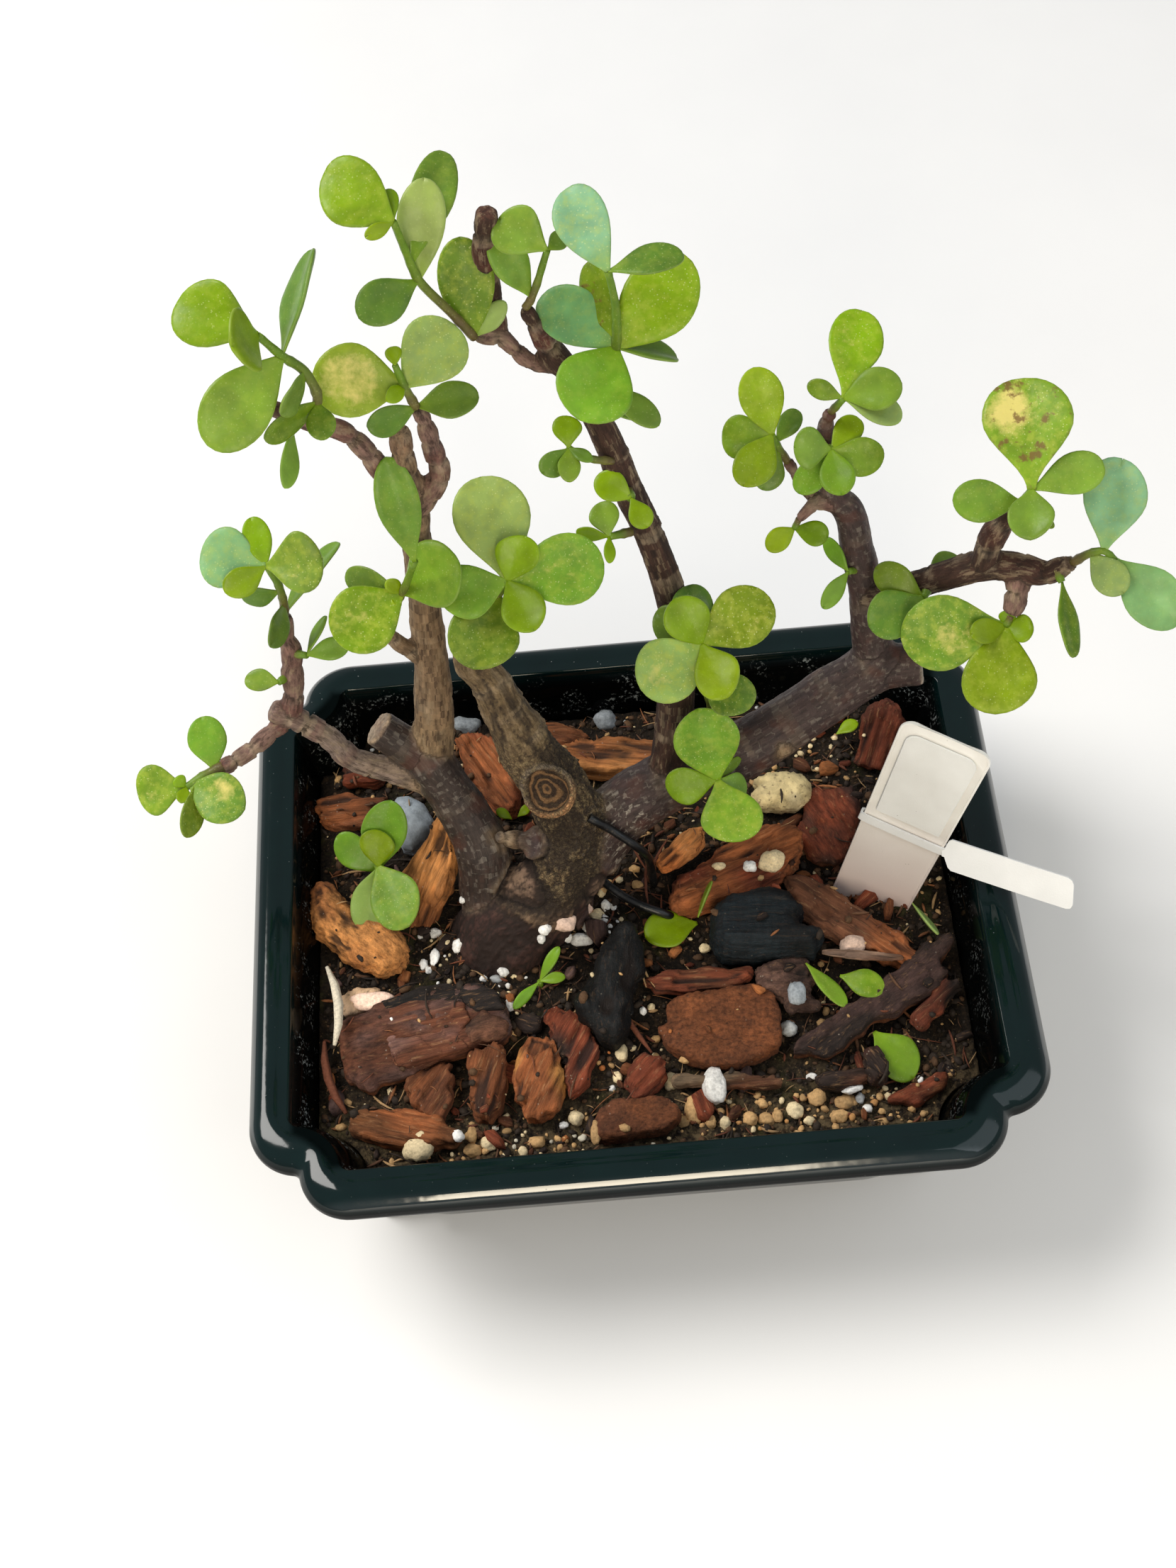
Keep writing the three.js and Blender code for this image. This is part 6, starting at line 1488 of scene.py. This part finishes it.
def make_litter(material, chip_material, ground, chips, wood):
    """Grains, crumbs and shreds dropped on the mix, a few of them caught on the chips."""
    draw = random.Random(LITTER_SEED)
    land = BVHTree.FromPolygons(ground.points.tolist(), ground.faces)
    hills = BVHTree.FromPolygons(chips.points.tolist(), chips.faces)
    trunk = BVHTree.FromPolygons(wood.points.tolist(), wood.faces)

    def shown_at(x, y):
        """Where the camera's line through (x, y) on the mix first meets something."""
        lens = Vector(LENS_PLACE)
        aim = Vector((x, y, 45)) - lens
        hits = [tree.ray_cast(lens, aim) for tree in (land, hills, trunk)]
        hits = [(distance, place) for place, _, _, distance in hits if place]
        return min(hits)[1] if hits else (x, y, SOIL_TOP)

    def drop(x, y, caught):
        """The height a thing at (x, y) comes to rest at, or None where it would not stay."""
        if abs(x) > 79 or abs(y) > soil_outline(x, cavity_shrink(SOIL_TOP) + 1.5):
            return None
        above, down = (x, y, 100), (0, 0, -1)
        hill = hills.ray_cast(above, down)[0]
        floor = land.ray_cast(above, down)[0]
        if floor is None or (hill and hill.z > floor.z and draw.random() > caught):
            return None
        return max(hill.z, floor.z) if hill else floor.z

    def anywhere():
        return draw.uniform(-80, 80), draw.uniform(-66, 66)

    grains, taken = [], []
    for color, places in NOTED.items():
        for x, y, wide, deep in places:
            x, y, z = shown_at(x, y)
            high = 0.8 * min(wide, deep)
            grains.append(pebble((x, y, z + 0.2 * high), (wide, deep, high), linear(*color), draw, 3, 0))
            taken.append((x, y, max(wide, deep)))
    for (x, y), (wide, deep), count, (least, most), colors in HEAPS:
        for _ in range(count):
            px, py = x + draw.gauss(0, wide / 1.7), y + draw.gauss(0, deep / 1.7)
            z = drop(px, py, 0.12)
            size = least + (most - least) * draw.random() ** 2
            shape = (size, size * draw.uniform(0.7, 1), size * draw.uniform(0.6, 0.9))
            tint = linear(*draw.choice(colors))
            free = all(math.hypot(px - ox, py - oy) > 0.45 * (size + other) for ox, oy, other in taken)
            if z is not None and free:
                grains.append(pebble((px, py, z + 0.2 * size), shape, tint, draw, 2))
                taken.append((px, py, size))
    add_piece("perlite_and_grit", merged(grains), material)

    flakes = []
    for _ in range(FLAKES):
        px, py = anywhere()
        hidden = drop(px, py, 0)
        z = drop(px, py, 0.12)
        size = (2.4 + 7.5 * draw.random() ** 2.2) * (1 if hidden is not None else 0.5)
        tint = draw.choice((RED, RUST, BROWN, DARK, DARK, PURPLE, ORANGE))
        if z is not None:
            flakes.append(flake((px, py, z + 0.12 * size), size, linear(*tint), draw))
    add_piece("bark_flakes", merged(flakes), chip_material)

    crumbs = []
    for _ in range(CRUMBS):
        px, py = anywhere()
        z = drop(px, py, 0.05)
        size = 0.5 + 1.9 * draw.random() ** 3
        kind = draw.random()
        sandy = 0.25 if py < -50 else 0.0
        color = CREAM if kind > 0.96 else TAN if kind > 0.88 - sandy else (84, 58, 34)
        color = CRUMB if kind < 0.55 - sandy else color
        shape = (size * draw.uniform(1, 1.7), size, size * 0.8)
        if z is not None:
            crumbs.append(pebble((px, py, z + 0.1 * size), shape, linear(*color), draw, 1))
    add_piece("soil_crumbs", merged(crumbs), material)

    shreds = []
    for _ in range(SHREDS):
        px, py = anywhere()
        z = drop(px, py, 0.1)
        length, thick = 2 + 7 * draw.random() ** 2, 0.25 + 0.7 * draw.random() ** 2
        tint = draw.choice((FIBRE, REDDISH, CRUMB, (92, 62, 40), (134, 84, 48)))
        yaw, pitch = draw.uniform(0, 360), draw.gauss(0, 9)
        if z is not None:
            shreds.append(shred((px, py, z + 0.5), length, thick, yaw, pitch, linear(*tint), draw))
    for *form, color in STRIPS:
        shreds.append(shred(*form, linear(*color), draw))
    add_piece("bark_shreds", merged(shreds), material)


# The plant label, bare: a stake with a raised rim, its sticker, the strap round it and its tag.
STAKE_FOOT, STAKE_TOP = np.array([55.5, -2.5, 26]), np.array([77.5, 8, 99.5])
STAKE_WIDTHS, STAKE_ACROSS = (18.5, 23.2), np.array([0.91, -0.41, 0])
STAKE_GAUGE, GAP = 0.9, 0.3
BAND_AT, BAND_HEIGHT, BAND_GAUGE, BAND_SIDES = 0.565, 2.2, 0.6, 48
# The tag from the strap outwards: how far along, and half its height there.
TAG_GAUGE = 0.7
TAG = [(0, 1), (0.6, 1), (1.6, 3.4), (2.4, 4), (8, 4), (16, 4), (24, 4), (31.4, 4), (32.5, 3.6),
    (33, 2.6)]

STAKE_RISE = STAKE_TOP - STAKE_FOOT
STAKE_UP = unit(STAKE_RISE)
STAKE_SIDE = unit(STAKE_ACROSS - STAKE_UP * (STAKE_UP @ STAKE_ACROSS))
STAKE_FACING = np.cross(STAKE_SIDE, STAKE_UP)


def stake_width(share):
    return STAKE_WIDTHS[0] + (STAKE_WIDTHS[1] - STAKE_WIDTHS[0]) * share


def stake_plate(shares, corners, narrower, section):
    """Rings of (share across, depth) up the stake's plane."""
    rings = []
    for share, corner in zip(shares, corners):
        half = stake_width(share) / 2 - narrower - corner
        middle = STAKE_FOOT + STAKE_RISE * share
        rings.append([middle + STAKE_SIDE * (half * across) + STAKE_FACING * depth
            for across, depth in section])
    return loft(rings)


def round_top(low, high, radius, steps):
    """Shares of the stake's height, and how far its corners are cut at each."""
    length = np.linalg.norm(STAKE_RISE)
    angles = np.linspace(0, np.pi / 2, steps)
    rise = high - radius / length + np.sin(angles) * radius / length
    shares = [*np.linspace(low, rise[0], 14)[:-1], *rise]
    return shares, [0] * 13 + (radius * (1 - np.cos(angles))).tolist()


def make_label(materials):
    """The stake, with a raised rim on its face, and its sticker, both blank."""
    half = STAKE_GAUGE / 2
    rim = [(1, half - 0.1), (0.985, half + 0.12), (0.955, half + 0.12), (0.94, half - 0.12)]
    front = rim + [(across, half - 0.12) for across in (0.6, 0.2, -0.2, -0.6)]
    front += [(-across, depth) for across, depth in rim[::-1]]
    back = [(-across, -depth) for across, depth in front]
    add_piece("label_stake_plate", Body(*stake_plate(*round_top(0, 1, 3.4, 7), 0, front + back)),
        materials["label_plastic"], "label_stake", smooth=False)
    near = half + GAP
    plate = [(1, near), (1, near + 0.35), (0.985, near + 0.6), (-0.985, near + 0.6), (-1, near + 0.35),
        (-1, near)]
    add_piece("label_sticker_plate", Body(*stake_plate(*round_top(0.62, 0.965, 3, 6), 2.4, plate)),
        materials["label_paper"], "label_sticker", smooth=False)


def make_tag(material):
    """The strap round the stake, and the blank tag that hangs from its right end."""
    share = BAND_HEIGHT / np.linalg.norm(STAKE_RISE) / 2
    low, high = BAND_AT - share, BAND_AT + share
    width = stake_width(BAND_AT)
    inner = STAKE_GAUGE / 2 + GAP
    loop = []
    for gauge, level in ((0, low), (BAND_GAUGE, low), (BAND_GAUGE, high), (0, high)):
        angles = np.linspace(0, 2 * np.pi, BAND_SIDES + 1)[:-1] + 0.01
        reach = width / 2 + GAP + gauge
        across = np.sign(np.cos(angles)) * abs(np.cos(angles)) ** 0.3 * reach
        depth = np.sign(np.sin(angles)) * abs(np.sin(angles)) ** 0.3 * (inner + gauge)
        middle = STAKE_FOOT + STAKE_RISE * level
        loop.append(middle + across[:, None] * STAKE_SIDE + depth[:, None] * STAKE_FACING)
    points = np.vstack(loop)
    index = np.arange(4 * BAND_SIDES).reshape(4, BAND_SIDES)
    faces = []
    for upper, lower in zip(index, np.roll(index, -1, axis=0)):
        faces += np.stack([upper, np.roll(upper, -1), np.roll(lower, -1), lower], axis=-1).tolist()
    reach = unit(np.array([0.886, -0.462, 0]))
    fall = unit(np.array([-0.08, -0.62, -0.78]))
    out = unit(np.cross(fall, reach))
    corner = (STAKE_FOOT + STAKE_RISE * BAND_AT + STAKE_SIDE * (width / 2 + GAP)
        + STAKE_FACING * (inner + 0.3))
    rings = []
    thick = TAG_GAUGE / 2
    for along, half in TAG:
        bow = 0.25 * math.sin(along / TAG[-1][0] * np.pi)
        section = [(-half, -thick), (-half, thick), (half, thick), (half, -thick)]
        rings.append([corner + reach * (along - 0.2) + fall * w + out * (d + bow) for w, d in section])
    bodies = [Body(points, faces), Body(*loft(rings))]
    add_piece("strap_tag_plate", merged(bodies), material, "strap_tag", smooth=False)


# The wire that holds the right root: out of the wood, into the mix and up to the wood again.
WIRE = [[-8.6, 6.9, 80.6], [-7.2, 6.5, 79.5], [-3.8, 6.1, 76], [-0.7, 5.1, 73.2], [1.9, 4.3, 70.5],
    [4.3, 4.5, 66], [5.6, 7, 57], [6, 9, 46], [8, 7, 36], [10.5, 1, 38], [9.5, -2, 45.5], [7.1, -1.8, 47.5],
    [2.4, -0.2, 49], [-2, 2.6, 49.8], [-4.4, 4.4, 50.6], [-6.7, 6.5, 51.4]]
WIRE_RADIUS = 1.1
FLOOR_HALF = 2

materials = {
    "glaze": glaze_look(),
    "bark": bark_look(),
    "leaf": leaf_look(),
    "bark_chip": chip_look("bark_chip"),
    "charcoal": chip_look("charcoal", 0.12, 0.22),
    "stone_grey": stone_look("stone_grey"),
    "stone_pale": stone_look("stone_pale"),
    "soil": soil_look(),
    "grit": grit_look(),
    "label_plastic": plastic_look("label_plastic", linear(248, 246, 240), linear(236, 232, 224), 0.35,
        linear(204, 186, 180)),
    "label_paper": plastic_look("label_paper", linear(238, 238, 234), linear(226, 225, 220), 0.2),
    "strap": plastic_look("strap", linear(240, 240, 238), linear(228, 228, 226)),
    "wire_coat": wire_look(),
}

make_pot(materials["glaze"])
wood = make_wood(materials["bark"])
leaf_draw = random.Random(LEAF_SEED)
for name, (stem, leaves, looks) in SPRAYS.items():
    make_spray(name, stem, leaves, looks, materials["leaf"], leaf_draw)
for name, (at, form, look) in FALLEN.items():
    leaf = blade(np.array(at), form, look, leaf_draw)
    add_piece(name + "_flesh", leaf, materials["leaf"], name)
litter = [blade(np.array(at), form, look, leaf_draw) for at, form, look in LITTER]
add_piece("loose_leaves", merged(litter), materials["leaf"])
ground = make_soil(materials["soil"])
chips = [make_chip(name, rows, materials, seed + 1) for seed, (name, rows) in enumerate(CHIPS.items())]
make_litter(materials["grit"], materials["bark_chip"], ground, merged(chips), wood)
make_label(materials)
make_tag(materials["strap"])
wire_places, wire_radii = curve([[*point, WIRE_RADIUS] for point in WIRE], 10)
add_piece("anchor_wire_coat", Body(*tube(wire_places, wire_radii, 16)), materials["wire_coat"],
    "anchor_wire")

# Floor, lights and camera.
floor_mesh = bpy.data.meshes.new("floor")
floor_corners = [(x * FLOOR_HALF, y * FLOOR_HALF, 0) for x, y in ((-1, -1), (1, -1), (1, 1), (-1, 1))]
floor_mesh.from_pydata(floor_corners, [], [(0, 1, 2, 3)])
floor_mesh.materials.append(floor_look())
floor = bpy.data.objects.new("floor", floor_mesh)
bpy.context.scene.collection.objects.link(floor)


def add_light(name, place, aim, size, power, color):
    lamp = bpy.data.lights.new(name, "AREA")
    lamp.shape = "RECTANGLE"
    lamp.size, lamp.size_y = size
    lamp.energy, lamp.color = power, color
    made = bpy.data.objects.new(name, lamp)
    made.location = place
    made.rotation_euler = (Vector(aim) - Vector(place)).to_track_quat("-Z", "Y").to_euler()
    bpy.context.scene.collection.objects.link(made)


add_light("key", (-0.85, 0.3, 1.2), (0, 0, 0.08), (0.75, 0.75), 19, (1, 0.97, 0.93))
add_light("sky", (0.9, -0.5, 1.0), (0, 0, 0.08), (1.2, 1.2), 5, (0.86, 0.93, 1))
add_light("warm_front", (-0.03, -1.2, 0.65), (0, 0, 0.05), (0.32, 0.8), 8, (1, 0.88, 0.68))

world = bpy.data.worlds.new("studio")
world.use_nodes = True
world.node_tree.nodes["Background"].inputs["Color"].default_value = (0.93, 0.96, 1, 1)
world.node_tree.nodes["Background"].inputs["Strength"].default_value = 0.33
bpy.context.scene.world = world
bpy.context.scene.view_settings.view_transform = "Standard"

ahead = np.array([math.sin(AZIMUTH) * math.cos(ELEVATION), math.cos(AZIMUTH) * math.cos(ELEVATION),
    -math.sin(ELEVATION)])
level_right = np.array([math.cos(AZIMUTH), -math.sin(AZIMUTH), 0])
level_up = np.cross(level_right, ahead)
right = math.cos(ROLL) * level_right + math.sin(ROLL) * level_up
upward = -math.sin(ROLL) * level_right + math.cos(ROLL) * level_up
camera = bpy.data.objects.new("camera", bpy.data.cameras.new("camera"))
camera.data.sensor_width = SENSOR
camera.data.lens = FOCAL_PIXELS / PHOTO_HEIGHT * SENSOR
camera.data.clip_start = 0.01
turn = Matrix(np.column_stack([right, upward, -ahead]).tolist()).to_4x4()
camera.matrix_world = Matrix.Translation(to_metres(LENS_PLACE)) @ turn
bpy.context.scene.collection.objects.link(camera)
bpy.context.scene.camera = camera
